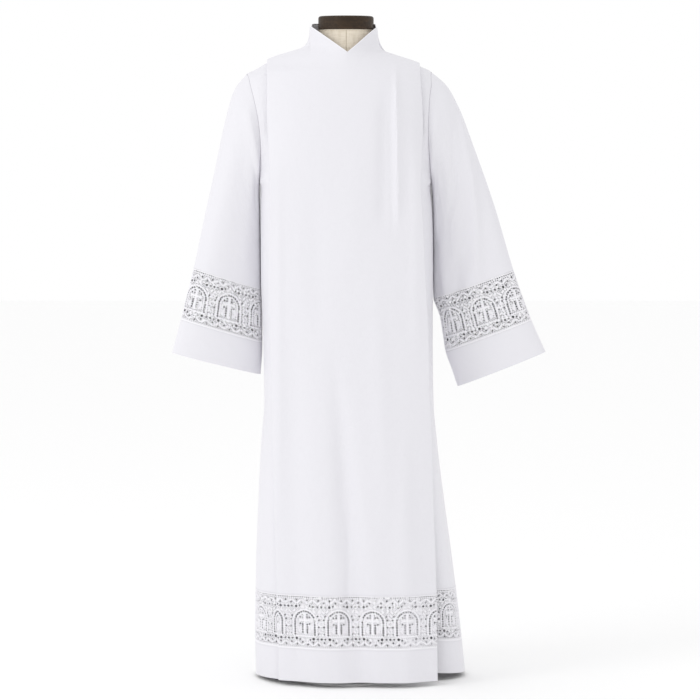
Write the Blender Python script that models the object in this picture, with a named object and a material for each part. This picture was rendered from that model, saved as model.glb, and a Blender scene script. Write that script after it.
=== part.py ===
"""Alb robe with lace bands, on a limbless dress form.

Run with: blender --background --python part.py

Sizes below are millimetres. +Z is up and the robe's front faces -Y. "left" is the -X side.
Every cloth piece is a wall of even thickness, made from a grid of points on its mid surface.
"""
import math

import bpy
import numpy as np

MM = 0.001

# ---- cloth -------------------------------------------------------------------------------------
CLOTH = 1.8             # wall of every cloth piece
SEAM_GAP = 0.6          # between two pieces that are sewn together
ARMHOLE_GAP = 1.4       # between the armhole's edge and the sleeve, along X
UNDERARM_GAP = 3.2      # the same, at the underarm
NECK_STEP = 3.5         # from the front's collar to the back's, where they lap
SHOULDER_GAP = 0.9      # from the shoulder line to each piece that meets there
SLEEVE_SEAM = 1.0       # between a sleeve, its lace and its cuff
HALF_GAP = 0.014        # radians, from the sleeve's side lines to each half of its lace
FOLD_GAP = 5.0          # from the front's face to its turned-under edge, mid to mid
TUCK_SHORT = 3.0        # the turned-under edge stops this many rows' height below the shoulder
LEFT_RETURN = 52.0      # how far the front's left edge is turned under
RIGHT_RETURN = 30.0
UNDERLAP = 45.0         # how far the side fronts reach under the front
LAP = 9.0               # how far the front laps over the back at the shoulders

# ---- heights -----------------------------------------------------------------------------------
HEM_BAND = 74.0         # plain band at the hem
LACE_DEPTH = 120.0      # lace band above it
CHEST_Z = 1113.0        # underarm level: plain rows below it, shaped rows above
UPPER_SPAN = 250.0      # row parameter from the underarm to the shoulder
UNDER_DROP = 4.0        # the under layer lies this far below the front at the neck
TIP_DROP = 4.0          # and this much more at the shoulder's tip
UNDER_INSET = 4.0       # and stands this much less deep
SHOULDER_LOW = 1345.0   # the shoulder line lies between these
SHOULDER_HIGH = 1489.0
RIDGE_STEPS = 30
COLLAR_OUT = 150.0      # half widths between which a column changes from shoulder to collar
COLLAR_IN = 78.0
NECK_BASE = 1412.0      # rows lie level below this, and spread out to the collar's edge above it
COLLAR_CROWD = 16       # how late the rows spread out
HEM_Z = {"front": 11.0, "left": 6.5, "right": 9.0, "back": 10.0}


def table(names, rows):
    """Turn rows of numbers into one array for each named column."""
    return dict(zip(names.split(), np.array(rows, dtype=float).T))


# The front panel: its two folded edges, and how far forward its edges and its middle stand.
FRONT = table("z fold_left fold_right left_y right_y centre_y", [
    (8, -149, 203, -112, -122, -158),
    (281, -155, 198, -112, -120, -153),
    (416, -159, 193, -111, -117, -148),
    (550, -161, 190, -110, -114, -144),
    (640, -162, 185, -110, -112, -141),
    (795, -167, 181, -110, -111, -137),
    (907, -170, 175, -110, -110, -134),
    (995, -168, 171, -108, -108, -131),
    (1113, -166, 164, -104, -104, -127),
])

# Sections of the dressed torso by height: half widths to each side, depths, and squareness.
TORSO = table("z left right front back power", [
    (1100, 191, 189, 127, 118, 2.60),
    (1200, 203, 197, 122, 121, 2.55),
    (1290, 222, 206, 113, 116, 2.35),
    (1340, 230, 208, 104, 106, 2.05),
    (1371, 222, 195, 97, 97, 1.75),
    (1379, 206, 186, 94, 94, 1.62),
    (1388, 190, 165, 91, 91, 1.52),
    (1397.5, 173, 138, 88, 88, 1.45),
    (1406, 150, 111, 85, 86, 1.42),
    (1414.5, 121, 87, 82, 84, 1.46),
    (1423.5, 95, 76.5, 80, 82, 1.58),
    (1433, 86, 73.5, 78, 80, 1.75),
    (1446, 82.5, 71.5, 77, 79, 1.92),
    (1460, 81, 70, 76, 78, 2.0),
    (1490, 80.5, 69, 75, 77, 2.0),
])

# Top edge of the front, from the left fold to the right one. Over a shoulder the height comes
# from the torso, so only x is used there. "lap" is how far the edge turns over the shoulder.
FRONT_TOP = table("a x z ridge bow lap", [
    (-1.00, -175, 0, 1, -5, 9),
    (-0.80, -143, 0, 1, -3, 9),
    (-0.64, -116, 0, 1, 0, 9),
    (-0.555, -98, 0, 1, 0, 9),
    (-0.515, -87.5, 1431.5, 0, 0, 9),
    (-0.475, -82.5, 1447, 0, 0, 8),
    (-0.44, -80, 1469, 0, 0, 3),
    (-0.41, -74, 1465, 0, 0, 0),
    (-0.30, -54, 1451, 0, 0, 0),
    (-0.14, -26, 1431, 0, 0, 0),
    (0.02, 3.5, 1410, 0, 0, 0),
    (0.18, 27, 1430, 0, 0, 0),
    (0.30, 47, 1448, 0, 0, 0),
    (0.385, 62, 1461, 0, 0, 0),
    (0.42, 69, 1466, 0, 0, 3),
    (0.455, 72, 1446, 0, 0, 8),
    (0.49, 76, 1432, 0, 0, 9),
    (0.54, 88, 0, 1, 0, 9),
    (0.62, 106, 0, 1, 0, 9),
    (0.69, 117, 0, 1, 0, 9),
    (0.78, 131, 0, 1, 2, 9),
    (0.90, 149, 0, 1, 4, 9),
    (1.00, 163, 0, 1, 6, 9),
])

# Side fronts, by height: the side seam, how far the piece stands behind the front's fold, the
# run of the cloth from the fold to the seam (lead angle and the lengths of both tangents), and
# how far the cloth is lifted at the fold.
SIDE = {
    "left": table("z seam_x seam_y setback lead_angle lead trail lift", [
        (8, -204, 12, 13, 0, 70, 150, 4),
        (83, -206, 12, 12, 0, 70, 150, 4),
        (266, -203.5, 10, 10, 0, 66, 145, 2),
        (403, -198, 8, 9.5, 0, 60, 140, 0),
        (539, -191, 5, 9.5, 0, 50, 135, 0),
        (630, -184, 4, 9.5, 0, 42, 130, 0),
        (788, -187, 3, 9.5, 0, 36, 125, 0),
        (907, -191, 2, 9.5, 0, 36, 120, 0),
        (1113, -192, 0, 9.5, 0, 42, 110, 0),
    ]),
    "right": table("z seam_x seam_y setback lead_angle lead trail lift", [
        (8, 271, 32, 72, 40, 160, 180, 10),
        (83, 263, 30, 66, 36, 150, 175, 10),
        (266, 241, 24, 46, 26, 110, 160, 6),
        (403, 222, 18, 28, 14, 80, 150, 3),
        (539, 205, 10, 14, 4, 56, 140, 0),
        (630, 197, 6, 10, 0, 44, 130, 0),
        (788, 195, 4, 9.5, 0, 36, 125, 0),
        (907, 195.5, 2, 9.5, 0, 36, 120, 0),
        (1040, 194.6, 1, 9.5, 0, 39, 114, 0),
        (1113, 190, 0, 9.5, 0, 42, 110, 0),
    ]),
}

# The back: how far its middle stands out.
BACK = table("z centre_y power", [
    (8, 152, 2.2),
    (403, 142, 2.4),
    (788, 128, 2.5),
    (1113, 118, 2.6),
])

# Top edge of the back, from the left shoulder to the right one. q is the column's place across
# the back below the underarm, from -1 at the left seam to 1 at the right one. Ridge 1 is on the
# shoulder line, and 0 is on the collar's edge.
BACK_TOP = table("q x z ridge", [
    (-1.00, -222, 0, 1),
    (-0.975, -211, 0, 1),
    (-0.90, -182, 0, 1),
    (-0.80, -150, 0, 1),
    (-0.68, -120, 0, 1),
    (-0.57, -96, 0, 1),
    (-0.51, -83.5, 1429, 0),
    (-0.46, -78.5, 1448, 0),
    (-0.41, -76.5, 1474, 0),
    (-0.34, -66, 1476, 0),
    (-0.20, -38, 1477, 0),
    (-0.02, -6, 1478, 0),
    (0.16, 26, 1477, 0),
    (0.32, 53, 1475, 0),
    (0.41, 65.5, 1474, 0),
    (0.46, 68.5, 1448, 0),
    (0.51, 73.5, 1429, 0),
    (0.58, 82, 0, 1),
    (0.69, 102, 0, 1),
    (0.80, 128, 0, 1),
    (0.90, 158, 0, 1),
    (0.975, 182, 0, 1),
    (1.00, 191, 0, 1),
])

ARMHOLE_DEPTH = {"front": 62.0, "back": 60.0}
TIP_X = {"left": 222.0, "right": 191.0}
SIGN = {"left": -1.0, "right": 1.0}

# Sleeve sections from the armhole to the cuff's edge: the outer and inner ends of each section
# and its half depths. Flat is the power of the inner half of the front: 2 is an oval, and more
# is squarer. Step is the table's own parameter; 5 is the lace's top, 6 its bottom.
SLEEVE = {
    "left": table("step out_x out_z in_x in_z out_y in_y front back flat", [
        (0, -222, 1363, -192, 1113, 0, 0, 62, 60, 2),
        (1, -250, 1327, -193.6, 1085, -2, 7, 60, 58, 2.4),
        (2, -269, 1265, -193.4, 1045, -4, 12, 53, 55, 2.9),
        (3, -297, 1135, -192.9, 985, -6, 17, 46, 49, 3),
        (4, -319, 1036, -192.5, 930, -8, 19, 41, 43, 3),
        (5, -342, 929, -191.6, 881, -9, 21, 37, 37, 2.8),
        (6, -371, 813, -190, 758, -10, 24, 35, 33, 2.6),
        (7, -391, 738, -194, 687, -10, 24, 33, 31, 2.4),
    ]),
    "right": table("step out_x out_z in_x in_z out_y in_y front back flat", [
        (0, 191, 1368, 190, 1113, 0, 0, 62, 60, 2),
        (1, 226, 1336, 193.2, 1088, -2, 7, 60, 58, 2.4),
        (2, 255, 1283, 195.6, 1050, -4, 12, 53, 55, 2.9),
        (3, 292, 1185, 196.1, 990, -6, 17, 46, 49, 3),
        (4, 333, 1068, 196.3, 915, -8, 20, 41, 43, 3),
        (5, 376, 924, 197.8, 860, -9, 24, 37, 37, 2.8),
        (5.4, 393, 874.4, 214, 814, -9, 25, 36.5, 35.2, 2.7),
        (6, 417, 811, 226, 738, -10, 26, 35, 33, 2.6),
        (6.5, 433.5, 773.5, 240, 699, -10, 26, 34, 32, 2.5),
        (7, 449, 740, 253, 660, -10, 26, 33, 31, 2.4),
    ]),
}
LACE_STEP = 5.0
CUFF_STEP = 6.0
END_STEP = 7.0

# Soft folds. Depth is inwards, so a ridge has a negative depth; widths are at both ends.
FOLDS = {
    "front": table("x_top z_top x_low z_low wide_top wide_low depth onset", [
        (-30, 800, 50, -160, 14, 42, 14, 2.5),
        (112, 1400, 118, 1030, 9, 12, -6, 4),
        (88, 1350, 84, 1000, 16, 20, 6, 4),
        (-120, 900, -104, -160, 22, 30, 5, 3),
        (128, 620, 140, -160, 20, 30, -6, 3),
    ]),
    "back": table("x_top z_top x_low z_low wide_top wide_low depth onset", [
        (-95, 1180, -125, -260, 16, 36, 19, 1.5),
        (-30, 1080, -35, -260, 14, 34, -15, 2),
        (42, 1180, 58, -260, 16, 38, 20, 1.5),
        (110, 1000, 150, -260, 16, 36, -12, 2),
    ]),
}

# Lengthwise folds of the sleeves: place round the sleeve (0 outer, 90 front, 180 inner, in
# degrees), its drift towards the cuff, its half width in degrees, its depth and its reach.
SLEEVE_FOLDS = {
    "left": table("angle drift half_width depth first last", [
        (128, 12, 18, 2.5, 1.0, 5.0),
        (262, -6, 22, 7, 0.6, 6.0),
    ]),
    "right": table("angle drift half_width depth first last", [
        (126, 4, 11, 8, 0.9, 5.6),
        (-16, 154, 13, -5, 1.6, 5.8),
        (265, 4, 22, 9, 0.6, 6.5),
    ]),
}

# ---- lace --------------------------------------------------------------------------------------
REPEAT = 78.0           # one medallion and its ground
# Gaps of one repeat, from its centre line: where each starts and ends along the band.
LACE_GAPS = table("start end", [
    (-24, -17),
    (17, 24),
    (36, 42),
])
# Rows of the band from its lower edge, as parts of its depth; the gaps are in rows 1 and 3.
LACE_ROWS = (0.0, 20 / 120, 27 / 120, 92 / 120, 99 / 120, 1.0)
GAP_ROWS = (1, 3)
LACE_PHASE = {"front": -16.0, "back": 4.0}      # x of one medallion's centre line
SIDE_LACE_PHASE = 40.0                          # from the end under the front
SLEEVE_LACE_PHASE = {"left": 30.0, "right": 42.0}
EDGE_MARGIN = 5.0       # least cloth between a gap and the end of its piece

# ---- rows and columns of the grids -------------------------------------------------------------
LOWER_ROWS = (281, 403, 539, 640, 788, 907, 1010, CHEST_Z)
UPPER_ROWS = (0.03, 0.08, 0.15, 0.25, 0.37, 0.49, 0.60, 0.70, 0.79, 0.87, 0.94, 1.0)
TURN_STATIONS = (180, 135, 90, 45, 0)           # degrees round a folded edge
UNDER_STATIONS = (1.0, 0.5)                     # of the part that is tucked under
RUN_STATIONS = (0.0, 0.16, 0.32, 0.5, 0.68, 0.84, 1.0)
SLEEVE_ROWS = (5.0, 4.0, 3.0, 2.3, 1.6, 1.0, 0.5, 0.0)

# ---- dress form and stand ----------------------------------------------------------------------
FORM = table("z half_width front back power", [
    (690, 128, 88, 86, 2.2),
    (696, 146, 101, 99, 2.2),
    (712, 158, 110, 108, 2.2),
    (780, 165, 112, 112, 2.2),
    (860, 158, 107, 107, 2.2),
    (960, 141, 97, 97, 2.2),
    (1060, 149, 102, 104, 2.2),
    (1150, 160, 107, 109, 2.2),
    (1230, 168, 105, 110, 2.2),
    (1290, 175, 98, 106, 2.1),
    (1335, 177, 89, 95, 1.9),
    (1358, 168, 83, 86, 1.7),
    (1372, 150, 79, 80, 1.55),
    (1384, 126, 76, 76, 1.45),
    (1395, 101, 73, 73, 1.42),
    (1406, 78, 70, 70, 1.6),
    (1418, 66, 65, 65, 1.85),
    (1432, 61.5, 61.5, 61.5, 2.0),
    (1460.7, 60, 60, 60, 2.0),
])
FORM_SIDES = 28
CAP_RADIUS = 62.0
CAP_LOW = 1461.0
CAP_TOP = 1492.0
CAP_EDGE = 5.0
POLE_RADIUS = 14.0
BASE_RADIUS = 130.0
BASE_DEPTH = 5.0
BASE_CHAMFER = 1.5
PART_GAP = 0.3
TURNED_SIDES = 40
SHARP_ANGLE = 50.0      # degrees

# ---- materials: colour, roughness, metallic ----------------------------------------------------
FINISHES = {
    "polyester_cloth": ((0.86, 0.85, 0.89), 0.80, 0.0),
    "polyester_lace": ((0.80, 0.79, 0.82), 0.75, 0.0),
    "linen": ((0.66, 0.58, 0.46), 0.90, 0.0),
    "dark_wood": ((0.06, 0.045, 0.035), 0.45, 0.0),
    "pale_painted_steel": ((0.80, 0.80, 0.80), 0.40, 0.0),
}


# ---- curves through tables ---------------------------------------------------------------------
def at(columns, name, value, key="z"):
    """Smooth value of a named column, by monotone cubic interpolation over the key column."""
    xs, ys = columns[key], columns[name]
    value = min(max(float(value), xs[0]), xs[-1])
    k = min(int(np.searchsorted(xs, value, side="right")) - 1, len(xs) - 2)
    steps = np.diff(xs)
    slopes = np.diff(ys) / steps

    def tangent(i):
        if i == 0:
            return slopes[0]
        if i == len(xs) - 1:
            return slopes[-1]
        before, after = slopes[i - 1], slopes[i]
        if before * after <= 0:
            return 0.0
        return 2 * before * after / (before + after)

    t = (value - xs[k]) / steps[k]
    return (ys[k] * (1 + 2 * t) * (1 - t) ** 2 + ys[k + 1] * t * t * (3 - 2 * t)
            + steps[k] * (tangent(k) * t * (1 - t) ** 2 - tangent(k + 1) * t * t * (1 - t)))


def soft_step(value):
    """0 below 0, 1 above 1, smooth between."""
    value = min(max(value, 0.0), 1.0)
    return value * value * (3 - 2 * value)


def unit(vector):
    return vector / np.linalg.norm(vector)


def fold_depth(folds, x, z):
    """How far all folds together press a panel inwards at one place."""
    total = 0.0
    for k in range(len(folds["depth"])):
        top, low = folds["z_top"][k], folds["z_low"][k]
        down = (top - z) / (top - low)
        if not 0.0 < down < 1.0:
            continue
        middle = folds["x_top"][k] + (folds["x_low"][k] - folds["x_top"][k]) * down
        width = folds["wide_top"][k] + (folds["wide_low"][k] - folds["wide_top"][k]) * down
        fade = soft_step(down * folds["onset"][k]) * soft_step((1 - down) * 5)
        total += folds["depth"][k] * fade * math.exp(-((x - middle) / width) ** 2)
    return total


# ---- the torso that the upper robe follows -----------------------------------------------------
def side_of(x):
    return "left" if x < 0 else "right"


def under_level(z):
    """Height of the front's section that the under layer has at a given height."""
    return z + UNDER_DROP + TIP_DROP * soft_step((1412 - z) / 27)


def torso_width(side, z, under):
    """Half width of the dressed torso; the under layer lies lower and further in at the neck."""
    if not under:
        return at(TORSO, side, z)
    return at(TORSO, side, under_level(z)) - NECK_STEP * soft_step((z - 1405) / 35)


def torso_y(x, z, face, under):
    """Distance of the dressed torso's face from the plane y = 0."""
    level = under_level(z) if under else z
    power = at(TORSO, "power", level)
    across = min(abs(x) / torso_width(side_of(x), z, under), 1.0)
    inset = UNDER_INSET if under else 0.0
    return (at(TORSO, face, level) - inset) * (1 - across ** power) ** (1 / power)


def torso_x(side, y, z, face):
    """Half width of the under layer's torso at a distance y from its middle."""
    power = at(TORSO, "power", under_level(z))
    along = min(abs(y) / (at(TORSO, face, under_level(z)) - UNDER_INSET), 1.0)
    return torso_width(side, z, True) * (1 - along ** power) ** (1 / power)


def ridge_z(x, under):
    """Height of the shoulder line above a given x."""
    side = side_of(x)
    low = SHOULDER_LOW - (UNDER_DROP + TIP_DROP if under else 0.0)
    high = SHOULDER_HIGH
    for _ in range(RIDGE_STEPS):
        middle = (low + high) / 2
        if torso_width(side, middle, under) > abs(x):
            low = middle
        else:
            high = middle
    return low


TIP_Z = {"left": ridge_z(-TIP_X["left"], True), "right": ridge_z(TIP_X["right"], True)}


def row_rise(height, collar=0.0):
    """How far a row above the underarm has climbed, 0 to 1.

    Rows lie closer together at the shoulder line, and more evenly where a column ends at the
    collar (collar 1).
    """
    part = min((height - CHEST_Z) / UPPER_SPAN, 1.0)
    return math.sin(part * math.pi / 2) * (1 - collar) + (1 - (1 - part) ** 1.2) * collar


def row_z(top_z, rise):
    """Height of a row in a column that ends at top_z."""
    base = min(top_z, NECK_BASE)
    return CHEST_Z + (base - CHEST_Z) * rise + (top_z - base) * rise ** COLLAR_CROWD


def fill_ridge(top, under):
    """Give the columns that end on the shoulder line its height."""
    for k, kind in enumerate(top["ridge"]):
        if kind == 1:
            top["z"][k] = ridge_z(top["x"][k], under)


def top_point(top, key, place, under):
    """Where a column ends: on the shoulder line, or on the collar's or the neck's edge."""
    x, z = at(top, "x", place, key), at(top, "z", place, key)
    if at(top, "ridge", place, key) > 0.99:
        z = ridge_z(x, under)
    return x, z


def collar_part(x):
    """How far a column that ends at x belongs to the collar: 0 on the shoulder, 1 on it."""
    return soft_step((COLLAR_OUT - abs(x)) / (COLLAR_OUT - COLLAR_IN))


fill_ridge(FRONT_TOP, False)
fill_ridge(BACK_TOP, True)


# ---- front -------------------------------------------------------------------------------------
def front_face(a, height):
    """Point of the front's face: a from -1 at the left fold to 1 at the right one."""
    level = min(height, CHEST_Z)
    fold_left, fold_right = at(FRONT, "fold_left", level), at(FRONT, "fold_right", level)
    x = fold_left + (fold_right - fold_left) * (a + 1) / 2
    edge = at(FRONT, "left_y" if a < 0 else "right_y", level)
    y = edge + (at(FRONT, "centre_y", level) - edge) * (1 - abs(a) ** 2.2)
    z = height
    lap = 0.0
    if height > CHEST_Z:
        top_x, top_z = top_point(FRONT_TOP, "a", a, False)
        rise = row_rise(height, collar_part(top_x))
        z = row_z(top_z, rise)
        x += (top_x - x) * rise ** 2 + at(FRONT_TOP, "bow", a, "a") * math.sin(math.pi * rise) ** 2
        y += (-torso_y(x, z, "front", False) - y) * soft_step(rise / 0.5)
        lap = max(height - CHEST_Z - UPPER_SPAN, 0.0) / LAP
    y += fold_depth(FOLDS["front"], x, z)
    over = at(FRONT_TOP, "lap", a, "a") * lap
    return np.array((x, y + over, z - 0.1 * over + 0.8 * lap * (over == 0)))


def front_normal(a, height):
    """Outward normal of the front's face."""
    top = CHEST_Z + UPPER_SPAN
    low, high = height - 3, height + 3
    if height > top - 3:
        low, high = top - 8, top - 2
    near, far = max(a - 0.02, -1.0), min(a + 0.02, 1.0)
    across = front_face(far, height) - front_face(near, height)
    up = front_face(a, high) - front_face(a, low)
    return unit(np.cross(across, up))


def inset_a(side, distance, height):
    """The a of a place this far in from a fold."""
    level = min(height, CHEST_Z)
    width = at(FRONT, "fold_right", level) - at(FRONT, "fold_left", level)
    return SIGN[side] * (1 - 2 * distance / width)


def tucked_height(height, part):
    """Row of the turned-under edge, which stops short of the shoulder and has no lap."""
    top = CHEST_Z + UPPER_SPAN
    short = min(height, top - TUCK_SHORT + max(height - top, 0.0) / LAP)
    return height + (short - height) * part


def front_turn(side, degrees, height):
    """Point round a folded edge: 0 is on the face, 180 on the part that is turned under."""
    edge = SIGN[side]
    height = tucked_height(height, degrees / 180)
    normal = front_normal(edge, height)
    outward = unit(front_face(edge, height) - front_face(edge * 0.96, height))
    angle = math.radians(degrees)
    radius = FOLD_GAP / 2
    middle = front_face(edge, height) - normal * radius
    return middle + radius * (math.cos(angle) * normal + math.sin(angle) * outward)


def front_return(side, distance, height):
    """Point of the turned-under edge, a distance in from the fold."""
    height = tucked_height(height, 1.0)
    a = inset_a(side, distance, height)
    return front_face(a, height) - front_normal(a, height) * FOLD_GAP


def front_station(station, height):
    """A station is (kind, side, value), with kind face, turn or return."""
    kind, side, value = station
    if kind == "face":
        return front_face(value, height)
    if kind == "turn":
        return front_turn(side, value, height)
    return front_return(side, value, height)


def front_stations(faces):
    """All stations of the front, left to right, round both folds."""
    left = [("return", "left", LEFT_RETURN), ("return", "left", LEFT_RETURN / 2)]
    left += [("turn", "left", d) for d in TURN_STATIONS]
    right = [("turn", "right", d) for d in reversed(TURN_STATIONS)]
    right += [("return", "right", RIGHT_RETURN / 2), ("return", "right", RIGHT_RETURN)]
    return left + [("face", "", a) for a in faces] + right


# ---- side fronts -------------------------------------------------------------------------------
def armhole(side, face, rise):
    """Point of an armhole's edge: rise 0 at the underarm, 1 at the shoulder."""
    z = CHEST_Z + (TIP_Z[side] - CHEST_Z) * rise
    y = ARMHOLE_DEPTH[face] * 2 * math.sqrt(max(rise * (1 - rise), 0.0))
    x = torso_x(side, y, z, face)
    return np.array((SIGN[side] * x, -y if face == "front" else y, z))


def seam_point(side, face, height):
    """Where a side front or the back ends: at the side seam, or above it at the armhole."""
    if height > CHEST_Z:
        return armhole(side, face, row_rise(height))
    gap = -SEAM_GAP / 2 if face == "front" else SEAM_GAP / 2
    x, y = at(SIDE[side], "seam_x", height), at(SIDE[side], "seam_y", height)
    return np.array((x, y + gap, height))


def side_front(side, u, height):
    """Point of a side front, held back from the shoulder line."""
    near = soft_step((height - CHEST_Z) / UPPER_SPAN * 3 - 2)
    lift = at(SIDE[side], "lift", min(height, CHEST_Z)) * (1 - soft_step(u))
    return side_surface(side, u, height) + np.array((0.0, -SHOULDER_GAP * near, lift))


def side_surface(side, u, height):
    """Side front: u -1 to 0 is under the front, 0 to 1 runs from its fold to the seam."""
    columns = SIDE[side]
    level = min(height, CHEST_Z)
    setback = at(columns, "setback", level)
    if u <= 0:
        a = inset_a(side, -u * UNDERLAP, height)
        return front_face(a, height) - front_normal(a, height) * setback
    edge = SIGN[side]
    normal = front_normal(edge, height)
    outward = unit(front_face(edge, height) - front_face(edge * 0.96, height))
    lead = math.radians(at(columns, "lead_angle", level))
    start = front_face(edge, height) - normal * setback
    end = seam_point(side, "front", height)
    chord = np.linalg.norm(end - start)
    leave = outward * math.cos(lead) + normal * math.sin(lead)
    arrive = np.array((0.0, 1.0, 0.0))
    run_out, run_in = at(columns, "lead", level), at(columns, "trail", level)
    if height > CHEST_Z:
        rise = row_rise(height)
        tangent = unit(np.array((outward[0], 0.9, outward[2])))
        arrive = unit(arrive * (1 - soft_step(rise * 5)) + tangent * soft_step(rise * 5))
        run_out += (chord - run_out) * soft_step(rise * 4)
        run_in += (chord - run_in) * soft_step(rise * 4)
        if rise > 0.9:
            late = soft_step((rise - 0.9) / 0.1)
            arrive = unit(arrive * (1 - late) + unit(end - start) * late)
    return (start * (1 + 2 * u) * (1 - u) ** 2 + end * u * u * (3 - 2 * u)
            + leave * run_out * u * (1 - u) ** 2 - arrive * run_in * u * u * (1 - u))


# ---- back --------------------------------------------------------------------------------------
def back_point(q, height):
    """Point of the back: q from 1 at the right seam or armhole to -1 at the left one."""
    level = min(height, CHEST_Z)
    right, left = seam_point("right", "back", height), seam_point("left", "back", height)
    low_right, low_left = seam_point("right", "back", level), seam_point("left", "back", level)
    part = (q + 1) / 2
    power = at(BACK, "power", level)
    seam_y = low_left[1] + (low_right[1] - low_left[1]) * part
    y = seam_y + (at(BACK, "centre_y", level) - seam_y) * (1 - abs(q) ** power) ** (1 / power)
    x = low_left[0] + (low_right[0] - low_left[0]) * part
    z = height
    if height > CHEST_Z:
        side = "right" if q > 0 else "left"
        edge = right if q > 0 else left
        top_x, top_z = top_point(BACK_TOP, "q", q, True)
        rise = row_rise(height, collar_part(top_x))
        z = row_z(top_z, rise)
        straight = q + (top_x / TIP_X[side] - q) * rise ** 2
        middle = (low_left[0] + low_right[0]) / 2 * (1 - rise) * (1 - abs(q))
        x = abs(edge[0]) * straight + middle
        if abs(q) == 1:
            x, y, z = edge
        else:
            y += (torso_y(x, z, "back", True) - y) * soft_step(rise / 0.3)
        y += SHOULDER_GAP * soft_step((height - CHEST_Z) / UPPER_SPAN * 3 - 2)
    y -= fold_depth(FOLDS["back"], x, z)
    return np.array((x, y, z))


# ---- sleeves -----------------------------------------------------------------------------------
def sleeve_oval(side, angle, step):
    """Point of a plain section between the outer and inner ends of a sleeve."""
    columns = SLEEVE[side]
    outer = np.array([at(columns, name, step, "step") for name in ("out_x", "out_y", "out_z")])
    inner = np.array([at(columns, name, step, "step") for name in ("in_x", "in_y", "in_z")])
    face = "front" if math.sin(angle) >= 0 else "back"
    depth = at(columns, face, step, "step")
    squarer = face == "front" and math.cos(angle) < 0
    power = 2 / at(columns, "flat", step, "step") if squarer else 1.0
    across = math.copysign(abs(math.cos(angle)) ** power, math.cos(angle))
    away = math.copysign(abs(math.sin(angle)) ** power, math.sin(angle))
    point = (outer + inner) / 2 + (outer - inner) / 2 * across
    return point - np.array((0.0, depth * away, 0.0))


def sleeve_fold(side, angle, step):
    """How far the lengthwise folds press the sleeve inwards."""
    folds = SLEEVE_FOLDS[side]
    total = 0.0
    for k in range(len(folds["depth"])):
        first, last = folds["first"][k], folds["last"][k]
        fade = soft_step((step - first) / 0.8) * soft_step((last - step) / 0.8)
        middle = folds["angle"][k] + folds["drift"][k] * (step / END_STEP)
        away = (math.degrees(angle) % 360 - middle) / folds["half_width"][k]
        total += folds["depth"][k] * fade * math.exp(-away * away)
    return total


def sleeve_point(side, angle, step):
    """Point of a sleeve: angle 0 outer, pi/2 front, pi inner; step 0 at the armhole."""
    point = sleeve_oval(side, angle, step)
    middle = sleeve_oval(side, 0.0, step) / 2 + sleeve_oval(side, math.pi, step) / 2
    point = point - unit(point - middle) * sleeve_fold(side, angle, step)
    if step < 2:
        face = "front" if math.sin(angle) >= 0 else "back"
        edge = armhole(side, face, (1 + math.cos(angle)) / 2)
        low = (1 - math.cos(angle)) / 2
        edge[0] += SIGN[side] * (ARMHOLE_GAP + (UNDERARM_GAP - ARMHOLE_GAP) * low)
        point += (edge - sleeve_oval(side, angle, 0.0)) * (1 - step / 2) ** 3
    return point


def sleeve_angles():
    """Angles round a sleeve that meet the rows of the armhole's edges."""
    rises = [0.0] + [row_rise(CHEST_Z + v * UPPER_SPAN) for v in UPPER_ROWS]
    front = [math.acos(2 * r - 1) for r in rises]
    front.reverse()
    back = [2 * math.pi - angle for angle in reversed(front[1:-1])]
    return front + back


# ---- lace --------------------------------------------------------------------------------------
def lace_lines(length, phase, turns=()):
    """Places of the grid's lines along a band, and the pairs of lines with a gap between.

    Turns are stretches that keep their own lines and take no gap.
    """
    lines = {0.0, length}
    gaps = []
    for start, end, kept in turns:
        lines.update(kept)
    first = -int((phase + REPEAT) // REPEAT)
    for k in range(first, int(length // REPEAT) + 2):
        centre = phase + k * REPEAT
        for start, end in zip(centre + LACE_GAPS["start"], centre + LACE_GAPS["end"]):
            clear = all(end < a - EDGE_MARGIN or start > b + EDGE_MARGIN for a, b, _ in turns)
            if start > EDGE_MARGIN and end < length - EDGE_MARGIN and clear:
                lines.update((start, end))
                gaps.append((start, end))
    return sorted(lines), gaps


def gap_cells(lines, gaps):
    """Cells of the grid that are cut out."""
    starts = {round(start, 6) for start, _ in gaps}
    columns = [j for j, value in enumerate(lines[:-1]) if round(value, 6) in starts]
    return {(row, column) for row in GAP_ROWS for column in columns}


def measured(points):
    """Length along a line of points, at each point."""
    steps = np.linalg.norm(np.diff(np.array(points), axis=0), axis=1)
    return np.concatenate(([0.0], np.cumsum(steps)))


# ---- meshes ------------------------------------------------------------------------------------
def material(name):
    colour, roughness, metallic = FINISHES[name]
    made = bpy.data.materials.get(name) or bpy.data.materials.new(name)
    made.use_nodes = True
    shader = made.node_tree.nodes["Principled BSDF"]
    shader.inputs["Base Color"].default_value = (*colour, 1.0)
    shader.inputs["Roughness"].default_value = roughness
    shader.inputs["Metallic"].default_value = metallic
    return made


def add_object(name, vertices, faces, finish):
    """Make an object from points in millimetres."""
    mesh = bpy.data.meshes.new(name)
    mesh.from_pydata([tuple(float(c) * MM for c in v) for v in vertices], [], faces)
    mesh.materials.append(material(finish))
    mesh.update()
    mesh.shade_smooth()
    mesh.set_sharp_from_angle(angle=math.radians(SHARP_ANGLE))
    made = bpy.data.objects.new(name, mesh)
    bpy.context.scene.collection.objects.link(made)
    return made


def grid_normals(grid, closed):
    """Unit normals of a grid of points, by differences between neighbours."""
    if closed:
        across = np.roll(grid, -1, axis=1) - np.roll(grid, 1, axis=1)
    else:
        across = np.gradient(grid, axis=1)
    up = np.gradient(grid, axis=0)
    normals = np.cross(across, up)
    return normals / np.linalg.norm(normals, axis=2, keepdims=True)


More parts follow.
